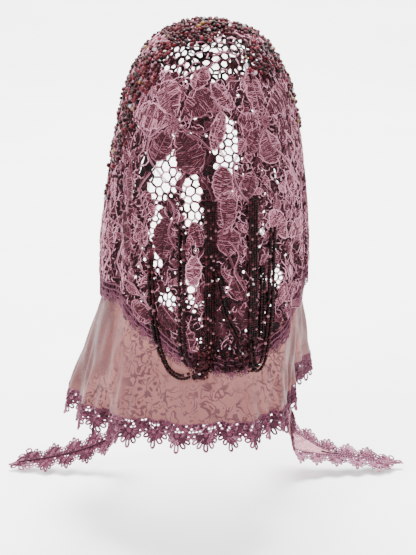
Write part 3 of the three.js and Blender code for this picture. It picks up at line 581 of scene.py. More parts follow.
def tulle_material(name, colour, thread, tint, base_alpha, line_alpha):
    """Sheer dyed net with fine squiggly embroidery: what is behind it shows through, tinted by its dye."""
    material, tree, shader = new_material(name)
    field = noise(tree, 100.0, 1.5, in_Roughness=0.55, in_Distortion=0.7)
    level = math_node(tree, "FRACT", math_node(tree, "MULTIPLY", field, 5.0))
    off = math_node(tree, "ABSOLUTE", math_node(tree, "SUBTRACT", level, 0.5))
    line = math_node(tree, "LESS_THAN", off, 0.17)
    some = math_node(tree, "SUBTRACT", noise(tree, 26.0, 2.0), 0.32)
    line = math_node(tree, "MULTIPLY", line, math_node(tree, "MULTIPLY", some, 5.0, clamp=True))
    mesh = node(tree, "ShaderNodeTexVoronoi", feature="DISTANCE_TO_EDGE", in_Scale=900.0)
    tree.links.new(node(tree, "ShaderNodeTexCoord").outputs["Object"], mesh.inputs["Vector"])
    net = math_node(tree, "LESS_THAN", mesh.outputs["Distance"], 0.12)
    dense = math_node(tree, "MULTIPLY", tone_of(tree), 2 * base_alpha)
    alpha = math_node(tree, "ADD", math_node(tree, "MULTIPLY", net, 0.2), dense)
    alpha = math_node(tree, "ADD", alpha, math_node(tree, "MULTIPLY", line, line_alpha), clamp=True)
    dye = node(tree, "ShaderNodeMix", data_type="RGBA")
    tree.links.new(line, dye.inputs["Factor"])
    dye.inputs["A"].default_value = (*colour, 1)
    dye.inputs["B"].default_value = (*thread, 1)
    tree.links.new(dye.outputs["Result"], shader.inputs["Base Color"])
    set_inputs(shader, {"Roughness": 0.8, "Sheen Weight": 0.15})
    bump(tree, shader, line, 0.4, 0.0004)
    clear = node(tree, "ShaderNodeBsdfTransparent", in_Color=(*tint, 1))
    mix = node(tree, "ShaderNodeMixShader")
    for k, output in enumerate((alpha, clear.outputs[0], shader.outputs[0])):
        tree.links.new(output, mix.inputs[k])
    tree.links.new(mix.outputs[0], tree.nodes["Material Output"].inputs["Surface"])
    return material


def glass_material(name, stops, roughness=0.1, clear=0.0, ior=1.55):
    """Glass beads: the tone of each bead picks its colour, with small streaks inside."""
    material, tree, shader = new_material(name)
    streak = noise(tree, 900.0, 2.0)
    uneven = math_node(tree, "MULTIPLY", math_node(tree, "SUBTRACT", streak, 0.5), 0.25)
    factor = math_node(tree, "ADD", tone_of(tree), uneven, clamp=True)
    tree.links.new(ramp(tree, factor, stops), shader.inputs["Base Color"])
    rough = math_node(tree, "ADD", math_node(tree, "MULTIPLY", streak, 0.12), roughness)
    tree.links.new(rough, shader.inputs["Roughness"])
    set_inputs(shader, {"IOR": ior, "Transmission Weight": clear, "Specular IOR Level": 0.3,
                        "Coat Weight": 0.08, "Coat Roughness": 0.12})
    return material


LACE = thread_material(
    "lace_thread", (0.01, 0.0004, 0.0016), (0.078, 0.009, 0.02), (0.66, 0.3, 0.4), 1.25)
SATIN = thread_material(
    "lace_satin", (0.01, 0.0005, 0.0018), (0.078, 0.012, 0.022), (0.46, 0.19, 0.255), 1.8, slant=0.5, weave=0.8)
# dark close ground of the lace and its edging: partly the lace's own darker ground, partly painted shade for
# the dark seen through its gaps
GROUND = thread_material(
    "lace_ground", (0.004, 0.0002, 0.0008), (0.04, 0.004, 0.0085), (0.22, 0.055, 0.085), 1.7, slant=1.0)
TRIM = thread_material(
    "trim_thread", (0.02, 0.0025, 0.007), (0.15, 0.04, 0.072), (0.5, 0.25, 0.35), 1.1)
EDGE_THREAD = thread_material(
    "edge_thread", (0.01, 0.001, 0.003), (0.085, 0.018, 0.036), (0.44, 0.19, 0.28), 1.2)
TULLE = tulle_material(
    "tulle_cloth", (0.14, 0.042, 0.04), (0.055, 0.007, 0.013), (0.19, 0.082, 0.074), 0.52, 0.5)
SHEER = tulle_material("sheer_cloth", (0.3, 0.13, 0.14), (0.2, 0.06, 0.08), (0.8, 0.72, 0.72), 0.08, 0.1)
TIE_TULLE = tulle_material("tie_cloth", (0.24, 0.07, 0.11), (0.1, 0.016, 0.036), (0.5, 0.26, 0.3), 0.34, 0.4)
# garnet glass; its lightest stop is the painted glint that a few seed beads take
GARNET = glass_material("garnet_glass", [
    (0.0, (0.0012, 0.0001, 0.0002)), (0.5, (0.012, 0.001, 0.0018)), (0.8, (0.05, 0.008, 0.012)),
    (1.0, (0.16, 0.07, 0.08))], 0.3, ior=1.17)
CROWN = glass_material("crown_glass", [
    (0.0, (0.003, 0.0002, 0.0006)), (0.45, (0.03, 0.0016, 0.004)), (0.8, (0.07, 0.005, 0.01)),
    (1.0, (0.11, 0.018, 0.026))], 0.24, ior=1.2)
AMBER = glass_material("amber_glass", [(0.0, (0.08, 0.03, 0.002)), (1.0, (0.24, 0.11, 0.01))], clear=0.2)
CRYSTAL = glass_material("crystal_glass", [
    (0.0, (0.35, 0.28, 0.34)), (1.0, (0.7, 0.66, 0.7))], roughness=0.05, clear=0.5, ior=1.6)

# Petals and leaves of the lace: base x, base y, tip x and tip y in pixels of the frame, width in millimetres,
# fullness towards the tip, tone
PETALS = [
    (177, 117, 166, 82, 23, 0.62, 0.55), (181, 121, 211, 92, 24, 0.66, 0.45),
    (172, 123, 139, 111, 23, 0.6, 0.7), (171, 129, 155, 160, 22, 0.6, 0.5),
    (179, 131, 198, 173, 25, 0.6, 0.42), (259, 117, 247, 71, 18, 0.55, 0.55),
    (264, 116, 283, 83, 24, 0.62, 0.52), (268, 123, 301, 130, 27, 0.66, 0.62),
    (264, 130, 273, 163, 27, 0.6, 0.55), (257, 122, 237, 121, 15, 0.5, 0.5),
    (258, 128, 246, 154, 14, 0.5, 0.5), (222, 112, 213, 150, 12, 0.5, 0.75),
    (212, 84, 232, 110, 14, 0.5, 0.6), (195, 90, 206, 68, 14, 0.5, 0.7),
    (163, 258, 168, 217, 24, 0.5, 0.45), (193, 286, 194, 256, 13, 0.5, 0.65),
    (228, 256, 229, 228, 22, 0.6, 0.6), (224, 228, 227, 190, 19, 0.5, 0.55),
    (222, 200, 223, 166, 18, 0.5, 0.6), (131, 200, 128, 168, 18, 0.5, 0.6),
    (112, 254, 111, 226, 13, 0.5, 0.4), (130, 258, 126, 210, 16, 0.5, 0.5),
    (243, 200, 252, 172, 16, 0.55, 0.55), (285, 238, 270, 210, 18, 0.6, 0.7),
    (286, 236, 302, 216, 17, 0.6, 0.7), (283, 300, 297, 284, 14, 0.6, 0.6),
    (280, 303, 284, 282, 10, 0.6, 0.6), (288, 306, 301, 297, 10, 0.6, 0.6),
    (205, 300, 210, 272, 13, 0.5, 0.45), (243, 300, 232, 276, 15, 0.55, 0.5),
    (238, 330, 246, 304, 15, 0.55, 0.5), (176, 330, 160, 306, 16, 0.55, 0.5),
    (212, 338, 218, 308, 15, 0.5, 0.5), (150, 322, 134, 300, 14, 0.5, 0.5),
    (190, 350, 184, 326, 14, 0.5, 0.5), (120, 222, 138, 210, 12, 0.5, 0.5),
    (108, 204, 116, 180, 11, 0.5, 0.5), (145, 246, 140, 222, 12, 0.5, 0.5),
    (262, 214, 252, 226, 12, 0.5, 0.6), (296, 196, 284, 172, 15, 0.55, 0.65),
    (300, 170, 292, 148, 13, 0.5, 0.6), (200, 246, 193, 222, 12, 0.5, 0.5),
    (246, 248, 256, 262, 12, 0.5, 0.5), (268, 276, 262, 254, 12, 0.5, 0.6),
]


def local_map(azimuth, distance):
    ring = float(ring_at(azimuth, distance))

    def to_lace(right, down, lift=0.0):
        # a place right and down from the centre, in millimetres, kept true over the crown's curve
        return on_lace(azimuth + np.degrees(np.asarray(right) / ring), distance + np.asarray(down), lift)
    return to_lace


# the large leaves made so far: azimuth, distance, ring, axis, half the length, half the width
MOTIF_DISCS = []


def leaf(sculpt, cords, base, tip, width, full, tone):
    """Satin leaf from base to tip, each an azimuth and distance: a domed skin with a corded edge and a vein."""
    large = width > LARGE_LEAF
    height, rib, wire, wire_sides = (1.5, 0.22, 0.76, 4) if large else (0.9, 0, 0.46, 3)
    lift = 1.0
    middle_az = (base[0] + tip[0]) / 2
    middle_d = (base[1] + tip[1]) / 2
    tone = tone + float(shade(middle_az, middle_d))
    ring = float(ring_at(middle_az, middle_d))
    to_lace = local_map(middle_az, middle_d)
    axis = np.array((math.radians(tip[0] - base[0]) * ring, tip[1] - base[1]))
    length = np.linalg.norm(axis)
    axis = axis / length
    side = np.array((axis[1], -axis[0]))

    def place(u, v, up):
        return to_lace(u * axis[0] + v * side[0], u * axis[1] + v * side[1], up)

    rows, columns = (max(14, 2 * int(length / 1.9)), 7) if large else (9, 5)
    t = np.linspace(0, 1, rows)
    power = math.log(0.5) / math.log(full)
    half = width / 2 * np.maximum(np.sin(math.pi * np.clip(t, 0.02, 0.985) ** power), 0) ** 0.55
    half = half * (1 + 0.08 * np.sin(t * 21 + width) + 0.08 * np.sin(t * 43 + length))
    s = np.linspace(-1, 1, columns)
    u = (t[:, None] - 0.5) * length + 0 * s[None]
    v = half[:, None] * s[None]
    dome = lift + height * (1 - s[None] ** 2) * np.sin(math.pi * np.clip(t[:, None], 0.05, 0.95))
    crease = 0.3 * np.exp(-(s[None] / 0.16) ** 2)
    ribs = rib * (-1.0) ** np.arange(rows)[:, None] * (1 - np.abs(s[None]) ** 4)
    patch = 0.1 * np.sin(u * 0.55 + tone * 40) * np.sin(v * 0.7 + tone * 23)
    # the leaf's tone: lighter towards its tip and its edges, with painted shade in the crease along its middle;
    # its raised rows get painted light and its sunk rows painted shade
    tone_and_painted_shade = tone + 0.16 * (t[:, None] - 0.5) - 0.05 * np.exp(-(s[None] / 0.2) ** 2) + 0.08 * s[None] ** 2 + patch
    sculpt.sheet(place(u, v, dome - crease + ribs)[0], (tone_and_painted_shade + 0.7 * ribs).ravel(), np.stack([u, v], axis=-1))
    every = 2 if large else 1
    rim_u = np.concatenate([u[:, 0], u[::-1, -1]])[::every]
    rim_v = np.concatenate([v[:, 0], v[::-1, -1]])[::every]
    cords.tube(place(rim_u, rim_v, lift + 0.4), wire, wire_sides, closed=True, tone=tone + 0.26)
    if not large:
        return
    MOTIF_DISCS.append((middle_az, middle_d, ring, axis, length / 2, width / 2))
    stitches = int(length / 1.0)
    run = np.linspace(0.06, 0.94, stitches)[:, None] + rng.normal(0, 0.012, (stitches, 1))
    for way in (-1, 1):
        steps = np.linspace(0.08, 0.96, 5)[None]
        reach = way * steps * np.interp(run, t, half)
        slope = (run - 0.5) * length + rng.normal(0, 3.0, run.shape) * (steps - 0.4)
        points, normal = place(slope, reach, lift + 0.25 + height * (1 - steps ** 2)
                               * np.sin(math.pi * np.clip(run, 0.05, 0.95)))
        cords.tubes(points, normal, 0.32, 3, tone=tone + rng.uniform(-0.5, 0.55, stitches))
    for lean in rng.permutation((-0.5, 0.0, 0.5))[:rng.integers(0, 2)]:
        run = np.linspace(0.08, 0.8 if lean else 0.92, 9)
        reach = np.interp(run, t, half) * lean * np.sin(math.pi * run / 1.6)
        vein = place((run - 0.5) * length, reach, lift + height * np.sin(math.pi * run) * 0.9 + 0.2)
        cords.tube(vein, 0.5, 3, tone=tone + 0.3)


def inside_motif(azimuth, distance, grow=0.0):
    hit = np.zeros(np.shape(azimuth), bool)
    for az0, d0, ring, axis, half_long, half_wide in MOTIF_DISCS:
        right = np.radians(azimuth - az0) * ring
        down = distance - d0
        along = (right * axis[0] + down * axis[1]) / (half_long + grow)
        across = (right * axis[1] - down * axis[0]) / (half_wide * 0.92 + grow)
        hit |= along ** 2 + across ** 2 < 0.92
    return hit


# pixels of the frame along each raised cord
TENDRILS = [
    [(166, 114), (178, 124), (190, 134), (200, 140), (211, 151)],
    [(172, 112), (184, 127), (198, 133), (214, 127)], [(140, 124), (150, 136), (160, 130), (170, 121)],
    [(152, 136), (149, 152), (156, 167), (168, 181), (184, 190)], [(199, 172), (209, 190), (214, 204)],
    [(263, 126), (271, 146), (285, 160), (295, 178)], [(244, 140), (233, 165), (237, 188), (249, 204)],
    [(152, 172), (141, 190), (147, 214), (141, 240), (149, 260)],
    [(110, 214), (126, 236), (119, 262), (136, 286), (156, 316)],
    [(292, 200), (281, 225), (270, 244), (262, 262)], [(231, 214), (222, 236), (231, 262), (241, 286)],
    [(160, 300), (173, 318), (186, 332), (190, 350)], [(272, 290), (263, 310), (256, 336)],
    [(176, 88), (190, 74), (206, 70), (220, 60)], [(250, 72), (240, 60), (226, 54), (212, 58)],
    [(214, 100), (222, 118), (216, 138), (224, 158)], [(124, 150), (134, 166), (128, 186), (136, 204)],
    [(282, 130), (292, 146), (288, 166), (297, 184)], [(168, 196), (176, 210), (170, 232), (178, 250)],
    [(228, 240), (238, 254), (234, 272), (244, 290)], [(198, 250), (192, 268), (198, 290), (191, 312)],
    [(104, 230), (112, 250), (106, 270)], [(140, 262), (150, 282), (146, 300), (158, 320)],
    [(296, 236), (288, 254), (294, 270), (284, 286)],
]


def make_tendrils(cords):
    for line in TENDRILS:
        route = [from_photo(*place) for place in line]
        if None in route:
            continue
        path = catmull(route, 9 * len(route))
        points, normal = on_lace(path[:, 0], path[:, 1], 2.3)
        side = unit(np.cross(unit(np.gradient(points, axis=0)), normal))
        for offset in (-0.6, 0.6):
            cords.tube((points + side * offset, normal), 0.52, 3,
                       tone=rng.uniform(0.55, 0.85, 1) + shade(path[:, 0], path[:, 1]).mean())


def small_leaves(leaves, cords, count):
    """Short leaves over the close parts of the net, each with a lean of its own."""
    def allowed(azimuth, distance):
        close = (weave(azimuth, distance)[1] < 0.4) | (np.abs(wrapped(azimuth)) > 100)
        inside = (distance > 70) & (distance < net_edge(azimuth) - 8)
        return close & ~inside_motif(azimuth, distance, 2.0) & inside

    def spacing(azimuth, distance):
        return np.where(np.abs(wrapped(azimuth)) < 104, 11.5, 17.0)

    azimuths, distances = scatter(count, spacing, allowed, tries=30)
    for azimuth, distance in zip(azimuths, distances):
        ring = float(ring_at(azimuth, distance))
        half = rng.uniform(5.0, 7.5)
        turn = rng.normal(0, 0.75)
        reach = math.degrees(half * math.sin(turn) / ring)
        rise = half * math.cos(turn)
        leaf(leaves, cords, (azimuth - reach, distance + rise), (azimuth + reach, distance - rise),
             rng.uniform(5.5, 8.0), 0.55, rng.uniform(0.2, 0.6))


def close_threads(cords, count):
    """Short raised threads that cross the close parts of the lace."""
    azimuths = rng.uniform(-112, 112, count * 2)
    distances = rng.uniform(40, 330, count * 2)
    good = (distances < net_edge(azimuths) - 3) & (weave(azimuths, distances)[1] < 0.4)
    good &= ~inside_motif(azimuths, distances, -1.0)
    azimuths, distances = azimuths[good][:count, None], distances[good][:count, None]
    t = np.linspace(-0.5, 0.5, 5)[None]
    length = rng.uniform(5, 13, azimuths.shape)
    turn = rng.normal(0, 0.8, azimuths.shape) + rng.normal(0, 0.9, azimuths.shape) * t
    ring = ring_at(azimuths, distances)
    across = length * t * np.sin(turn) + rng.normal(0, 0.35, (len(azimuths), 5))
    points, normal = on_lace(azimuths + np.degrees(across / ring), distances + length * t * np.cos(turn),
                             1.5 + 0.4 * np.cos(t * math.pi) + rng.normal(0, 0.15, azimuths.shape))
    cords.tubes(points, normal, rng.uniform(0.26, 0.48, azimuths.shape), 3,
                tone=rng.normal(0.58, 0.46, len(azimuths)) + shade(azimuths[:, 0], distances[:, 0]))


def make_motifs():
    leaves, cords = Sculpt(), Sculpt()
    for bx, by, tx, ty, width, full, tone in PETALS:
        base, tip = from_photo(bx, by), from_photo(tx, ty)
        if base is None or tip is None:
            continue
        leaf(leaves, cords, base, tip, width, full, tone - 0.14)
    for cx, cy in ((175, 124), (263, 122)):
        to_lace = local_map(*from_photo(cx, cy))
        t = np.linspace(0, 1, 7)
        reach = 1.5 + 10.5 * t
        for angle in circle(11):
            bow = angle + 0.35 * np.sin(math.pi * t)
            cords.tube(to_lace(reach * np.cos(bow), reach * np.sin(bow), 3.0 - 0.7 * t), 0.6, 4, tone=0.62)
        around = circle(14)
        for size in (2.2, 4.6):
            ring = to_lace(size * np.cos(around), size * np.sin(around), 3.0)
            cords.tube(ring, 0.75, 5, closed=True, tone=0.45)
    make_tendrils(cords)
    small_leaves(leaves, cords, SMALL_LEAVES)
    threads = Sculpt()
    close_threads(threads, CLOSE_THREADS)
    return leaves, cords, threads


def spaced(points, reach, cell, count=None):
    """Indices of the first points, up to count, that keep their reach from each other."""
    kept, cells = [], {}
    for k, (p, r) in enumerate(zip(points, reach)):
        x, y, z = (p // cell).astype(int)
        span = range(-math.ceil(r / cell), math.ceil(r / cell) + 1)
        near = (other for dx in span for dy in span for dz in span
                for other in cells.get((x + dx, y + dy, z + dz), ()))
        if all((p[0] - q[0]) ** 2 + (p[1] - q[1]) ** 2 + (p[2] - q[2]) ** 2 >= min(r, s) ** 2 for q, s in near):
            cells.setdefault((x, y, z), []).append((p, r))
            kept.append(k)
            if len(kept) == count:
                break
    return kept


def scatter(count, spacing, allowed, tries):
    """Places on the lace that keep a spacing of their own, as azimuth and distance."""
    candidates = count * tries
    azimuths = rng.uniform(-180, 180, candidates)
    # this draw isn't used; without it all later ones would differ
    rng.uniform(0, 1, candidates)
    distances = rng.uniform(0, 1, candidates) * DOWN[-1]
    weight = np.interp(distances, DOWN, MEAN_RING) / MEAN_RING.max()
    good = (rng.uniform(0, 1, candidates) < weight) & (distances < net_edge(azimuths))
    good &= allowed(azimuths, distances)
    azimuths, distances = azimuths[good], distances[good]
    kept = spaced(on_lace(azimuths, distances)[0], spacing(azimuths, distances), 6.0, count)
    return azimuths[kept], distances[kept]


# open places of the lace: centre x, centre y, reach x and reach y in pixels, spacing in millimetres, share of
# the hole
OPEN_ZONES = [
    (208, 58, 52, 27, 7.2, 0.84), (160, 172, 23, 30, 6.6, 0.8), (226, 150, 13, 38, 5.6, 0.76),
    (158, 236, 8, 36, 5.4, 0.8), (192, 200, 11, 30, 5.8, 0.78), (272, 276, 11, 11, 4.4, 0.74),
    (166, 300, 11, 13, 4.6, 0.74), (192, 290, 6, 26, 4.2, 0.72), (275, 176, 6, 16, 4.6, 0.74),
]


def weave(azimuth, distance):
    """Spacing of the net's gaps in millimetres and the hole's share of each: open by zones, close elsewhere."""
    px, py = to_photo(on_lace(azimuth, distance)[0] * MM)
    spacing = np.full(np.shape(azimuth), 3.2)
    hole = np.zeros(np.shape(azimuth))
    for cx, cy, rx, ry, wide, share in OPEN_ZONES:
        near = smooth(1.15 - ((px - cx) / rx) ** 2 - ((py - cy) / ry) ** 2, 0, 0.5)
        spacing = spacing + (wide - spacing) * near
        hole = hole + (share - hole) * near
    far = smooth(np.abs(wrapped(azimuth)), 94, 106)
    front = 70 * smooth(np.abs(wrapped(azimuth)), 125, 150)
    low = smooth(distance, 60 + front, 100 + front)
    return spacing + (6.2 - 1.3 * low - spacing) * far, hole + (0.68 - 0.38 * low - hole) * far


def make_net():
    """Irregular net of thin bars: a triangulation's dual, of scattered places in a map that keeps angles."""
    azimuths, distances = scatter(NET_PLACES, lambda a, d: weave(a, d)[0], lambda a, d: d > 2.0, tries=20)
    log_reach = np.concatenate([[0], np.cumsum(DOWN_STEP / MEAN_RING[1:])])
    # the map's radius is 1 at 80 mm down the lace
    log_unit = log_reach[40]
    spread = np.exp(np.interp(distances, DOWN, log_reach) - log_unit)
    angle = np.radians(azimuths)
    flat = np.stack([spread * np.sin(angle), -spread * np.cos(angle)], axis=1)
    _, _, faces, _, _, _ = delaunay_2d_cdt([Vector(p) for p in flat], [], [], 0, 1e-9)
    triangles = np.array([f for f in faces if len(f) == 3])
    centre = flat[triangles].mean(axis=1)
    reach = np.linalg.norm(centre, axis=1)
    centre_az = np.degrees(np.arctan2(centre[:, 0], -centre[:, 1]))
    centre_d = np.interp(np.log(np.maximum(reach, 1e-9)) + log_unit, log_reach, DOWN)
    pairs, seen = [], {}
    around = [[] for _ in azimuths]
    for index, triangle in enumerate(triangles):
        for k in range(3):
            around[triangle[k]].append(index)
            key = (min(triangle[k], triangle[k - 1]), max(triangle[k], triangle[k - 1]))
            if key in seen:
                pairs.append((seen[key], index))
            else:
                seen[key] = index
    pairs = np.array(pairs)
    grounds = make_ground(flat, azimuths, distances, around, centre, centre_az, centre_d)
    a_az, a_d = centre_az[pairs[:, 0]], centre_d[pairs[:, 0]]
    b_az, b_d = centre_az[pairs[:, 1]], centre_d[pairs[:, 1]]
    step = wrapped(b_az - a_az)
    pa, pb = on_lace(a_az, a_d)[0], on_lace(b_az, b_d)[0]
    long = np.linalg.norm(pa - pb, axis=1)
    mid_az, mid_d = a_az + step / 2, (a_d + b_d) / 2
    keep = (long < 11) & (long > 0.4) & (a_d < net_edge(a_az) + 1) & (b_d < net_edge(b_az) + 1)
    keep &= ~inside_motif(wrapped(mid_az), mid_d, -0.8)
    a_az, a_d, step, b_d, long = a_az[keep], a_d[keep], step[keep], b_d[keep], long[keep]
    t = np.linspace(0, 1, 3)
    bow = rng.normal(0, 0.07, len(a_az)) * long
    ring = ring_at(a_az, a_d)
    az = a_az[:, None] + step[:, None] * t + np.degrees(bow / ring)[:, None] * np.sin(math.pi * t)
    d = a_d[:, None] + (b_d - a_d)[:, None] * t - bow[:, None] * np.sin(math.pi * t)
    lift = 0.95 + 0.3 * np.sin(math.pi * t)[None] + rng.normal(0, 0.2, len(a_az))[:, None]
    points, normal = on_lace(az, d, lift)
    radius = (rng.uniform(0.36, 0.62, len(a_az)) * np.where(long < 3.0, 0.9, 1.08))[:, None] * np.ones(3)
    radius[:, [0, -1]] *= 1.2
    radius *= 1 + 0.45 * smooth(weave(a_az, a_d)[1], 0.3, 0.8)[:, None]
    tone = rng.normal(0.36, 0.42, len(a_az)) + shade(a_az, a_d)
    return points, normal, radius, tone, a_az, grounds


def make_ground(flat, azimuths, distances, around, centre, centre_az, centre_d):
    """Close stitching round each gap of the net, as a flat ring between the gap's corners and its hole; a shut
    gap is also filled in, its middle painted dark as shade where a hole would show.
    """
    grounds = {"back": Sculpt(), "front": Sculpt()}
    sizes = np.array([len(members) for members in around])
    hole = weave(azimuths, distances)[1]
    free = (distances > 5) & ~inside_motif(azimuths, distances, -1.5)
    for corners in range(4, 10):
        chosen = np.flatnonzero((sizes == corners) & free)
        if len(chosen) == 0:
            continue
        members = np.array([around[k] for k in chosen])
        off = centre[members] - flat[chosen][:, None]
        order = np.argsort(np.arctan2(off[..., 1], off[..., 0]), axis=1)
        members = np.take_along_axis(members, order, axis=1)
        az = azimuths[chosen][:, None] + wrapped(centre_az[members] - azimuths[chosen][:, None])
        d = centre_d[members]
        wide = np.ptp(az, axis=1) * math.pi / 180 * ring_at(azimuths[chosen], distances[chosen])
        good = (np.ptp(d, axis=1) < 13) & (wide < 13) & (d < net_edge(az) + 1).all(axis=1)
        az, d, chosen = az[good], d[good], chosen[good]
        mid_az, mid_d = az.mean(axis=1, keepdims=True), d.mean(axis=1, keepdims=True)
        some = rng.uniform(0, 1, len(chosen)) < 0.14
        share = np.where(hole[chosen] < 0.35, np.where(some, 0.42, 0.0), hole[chosen])
        shut = share < 0.1
        share = np.clip(np.where(shut, 0.5, share) + rng.normal(0, 0.06, len(chosen)), 0.15, 0.9)[:, None]
        outer = on_lace(az, d, 0.35)[0]
        inner = on_lace(mid_az + (az - mid_az) * share, mid_d + (d - mid_d) * share, 0.75)[0]
        tone = rng.normal(0.15, 0.22, len(chosen)) + shade(azimuths[chosen], distances[chosen])
        centres = on_lace(mid_az[:, 0], mid_d[:, 0], 0.1)[0]
        behind = np.abs(wrapped(azimuths[chosen])) < PARTED
        for name, part in (("back", behind), ("front", ~behind)):
            # open gaps are lighter towards their hole; shut gaps are darker towards their middle, as painted
            # shade
            for these, rim, hem in ((part & ~shut, -0.15, 0.2), (part & shut, 0.15, -0.35)):
                grounds[name].rings(outer[these], inner[these], tone[these] + rim, tone[these] + hem)
            these = part & shut
            grounds[name].fans(inner[these], centres[these], tone[these] - 0.35)
    return grounds


def edge_band(azimuths, depth, lift):
    """Points of the border: depth below the net's edge, and along the arch over the face."""
    azimuths = np.asarray(azimuths, float)
    hanging, normal = on_lace(azimuths, net_edge(azimuths) + depth, lift)
    place, place_normal = on_lace(azimuths, net_edge(azimuths))
    ahead, behind = (on_lace(azimuths + step, net_edge(azimuths + step))[0] for step in (0.4, -0.4))
    along = unit(ahead - behind)
    # roughly outwards from the head, level
    out = np.stack(
        [place[..., 0] / CAP_WIDTH ** 2, place[..., 1] / (2 * CAP_FRONT) ** 2, 0 * azimuths], axis=-1)
    side = unit(np.cross(along, out))
    facing = unit(np.cross(side, along))
    facing = facing * np.sign((facing * place_normal).sum(-1, keepdims=True))
    arch = smooth(np.abs(wrapped(azimuths)), *FACE_ARCH)[..., None]
    depth, lift = np.asarray(depth, float)[..., None], np.asarray(lift, float)[..., None]
    sideways = place + side * depth + facing * lift
    return hanging * (1 - arch) + sideways * arch, unit(normal * (1 - arch) + facing * arch)


def border_lines():
    fine = np.arange(-180, 180.001, 0.25)
    points = on_lace(fine, net_edge(fine))[0]
    return fine, lengths_along(points)


def rings_on(surface, centres_u, centres_v, half_u, half_v, radius, cords, tone):
    """Small closed loops on a surface given by surface(u, v, lift)."""
    centres_u, centres_v = np.broadcast_arrays(np.asarray(centres_u, float), np.asarray(centres_v, float))
    angle = circle(8)
    u = centres_u[:, None] + half_u * np.cos(angle)
    v = centres_v[:, None] + half_v * np.sin(angle)
    points, normal = surface(u, v, 1.2)
    cords.tubes(points, normal, radius, 3, closed=True, tone=tone)


def make_border():
    """Dense scalloped edging: close ground, cords, rows of rings, ribbed scallop leaves and picot loops."""
    cords, leaves, ground = Sculpt(), Sculpt(), Sculpt()
    fine, along = border_lines()
    total = along[-1]

    def surface(s, v, lift):
        return edge_band(np.interp(np.mod(s, total), along, fine), v, lift)

    steps = np.arange(0, total, 1.5)
    for depth, lift, radius, wave in ((0.4, 1.0, 0.75, 0.3), (5.4, 1.3, 0.6, 0.3), (10.6, 1.2, 0.6, 0.4)):
        v = depth + wave * np.sin(steps * 2 * math.pi / 9)
        cords.tube(surface(steps, v, lift), radius, 5, closed=True, tone=0.5)
    rings = int(total // RING_PITCH)
    centres = np.arange(rings) * total / rings
    rings_on(surface, centres, 2.9, 1.75, 2.1, 0.48, cords, rng.uniform(0.2, 0.65, rings))
    rings_on(surface, centres + RING_PITCH / 2, 8.0, 1.9, 2.2, 0.45, cords, rng.uniform(0.2, 0.65, rings))
    scallops = int(round(total / SCALLOP_PITCH))
    pitch = total / scallops
    across = np.arange(0, total, pitch / 6)[:, None]
    depth = np.array((-0.6, 2.0, 4.2, 6.4, 8.6, 10.6, 12.6))[None] + 0 * across
    depth[:, -1] += 2.6 * np.abs(np.sin(math.pi * across[:, 0] / pitch))
    across = across + 0 * depth
    band = surface(across, depth, 0.35 + 0.25 * (np.indices(depth.shape).sum(0) % 2))[0]
    tone = rng.normal(0.18, 0.14, depth.shape).ravel()
    ground.sheet(band, tone, np.stack([across, depth], axis=-1), closed=True)
    for k in range(scallops):
        middle = (k + 0.5) * pitch
        for turn, long, wide in ((-0.75, 6.4, 3.6), (0, 7.6, 4.2), (0.75, 6.4, 3.6)):
            t = np.linspace(0, 1, 7)[:, None]
            s = np.linspace(-1, 1, 5)[None]
            u = s * (wide / 2 * np.sin(math.pi * np.clip(t, 0.04, 0.97)) ** 0.7)
            v = t * long + 0 * s
            uu = middle + u * math.cos(turn) + v * math.sin(turn)
            vv = 8.6 + v * math.cos(turn) - u * math.sin(turn)
            points = surface(uu, vv, 0.9 + 0.9 * (1 - s ** 2) + 0 * t)[0]
            leaves.sheet(points, rng.uniform(0.3, 0.6), np.stack([v, u], axis=-1))
            rim_u = np.concatenate([uu[:, 0], uu[::-1, -1]])
            rim_v = np.concatenate([vv[:, 0], vv[::-1, -1]])
            cords.tube(surface(rim_u, rim_v, 1.2), 0.5, 4, closed=True, tone=0.5)
    picots = int(round(total / PICOT_PITCH))
    centres = (np.arange(picots) + 0.5) * total / picots
    bow = np.abs(np.sin(math.pi * centres / pitch))
    rings_on(surface, centres, 14.6 + 2.6 * bow, 1.25, 1.6, 0.42, cords, rng.uniform(0.4, 0.8, picots))
    crossing = int(total // CROSSING_PITCH)
    at = np.arange(crossing) * total / crossing
    u = at[:, None] + np.array((0, 0.9, 0))[None] + rng.normal(0, 0.3, (crossing, 3))
    v = np.broadcast_to(np.array((5.2, 8.0, 10.8)), u.shape) + rng.normal(0, 0.3, (crossing, 3))
    points, normal = surface(u, v, 0.7)
    cords.tubes(points, normal, 0.42, 3, tone=rng.uniform(0.1, 0.75, crossing))
    return cords, leaves, ground


# Veil, its fans and the ties
def veil_points(azimuths, fall):
    """Points of the veil by the azimuth where it is sewn and its fall: 0 at the seam, 1 at the hem."""
    azimuths, fall = np.broadcast_arrays(np.asarray(azimuths, float), np.asarray(fall, float))
    release = BORDER_WIDTH + BORDER_SCALLOP
    sewn = 0.2
    depth = -VEIL_OVERLAP + (release + VEIL_OVERLAP) * np.clip(fall / sewn, 0, 1)
    upper = on_lace(azimuths, net_edge(azimuths) + depth, -(GAP + CLOTH / 2))[0]
    end = np.stack([table_value(VEIL_STATIONS, azimuths, column) * size
                    for column, size in ((1, VEIL_REACH), (2, VEIL_BACK), (3, -VEIL_DROP))], axis=-1)
    t = np.clip((fall - sewn) / (1 - sewn), 0, 1)[..., None]
    point = upper * (1 - t) + end * t
    share = (azimuths - VEIL_STATIONS[0, 0]) / (VEIL_STATIONS[-1, 0] - VEIL_STATIONS[0, 0])
    pleat = PLEAT_DEPTH * t[..., 0] ** 2 * np.sin(2 * math.pi * PLEATS * share)
    pleat = pleat + 1.6 * t[..., 0] * np.sin(2 * math.pi * (23 * share + 0.6 * fall))
    pleat = pleat + 1.0 * t[..., 0] * np.sin(2 * math.pi * (31 * share - 1.7 * fall))
    out = unit(np.stack([end[..., 0], end[..., 1], 0 * end[..., 0]], axis=-1))
    return point + out * pleat[..., None]


def grid_normals(points):
    return unit(np.cross(np.gradient(points, axis=0), np.gradient(points, axis=1)))


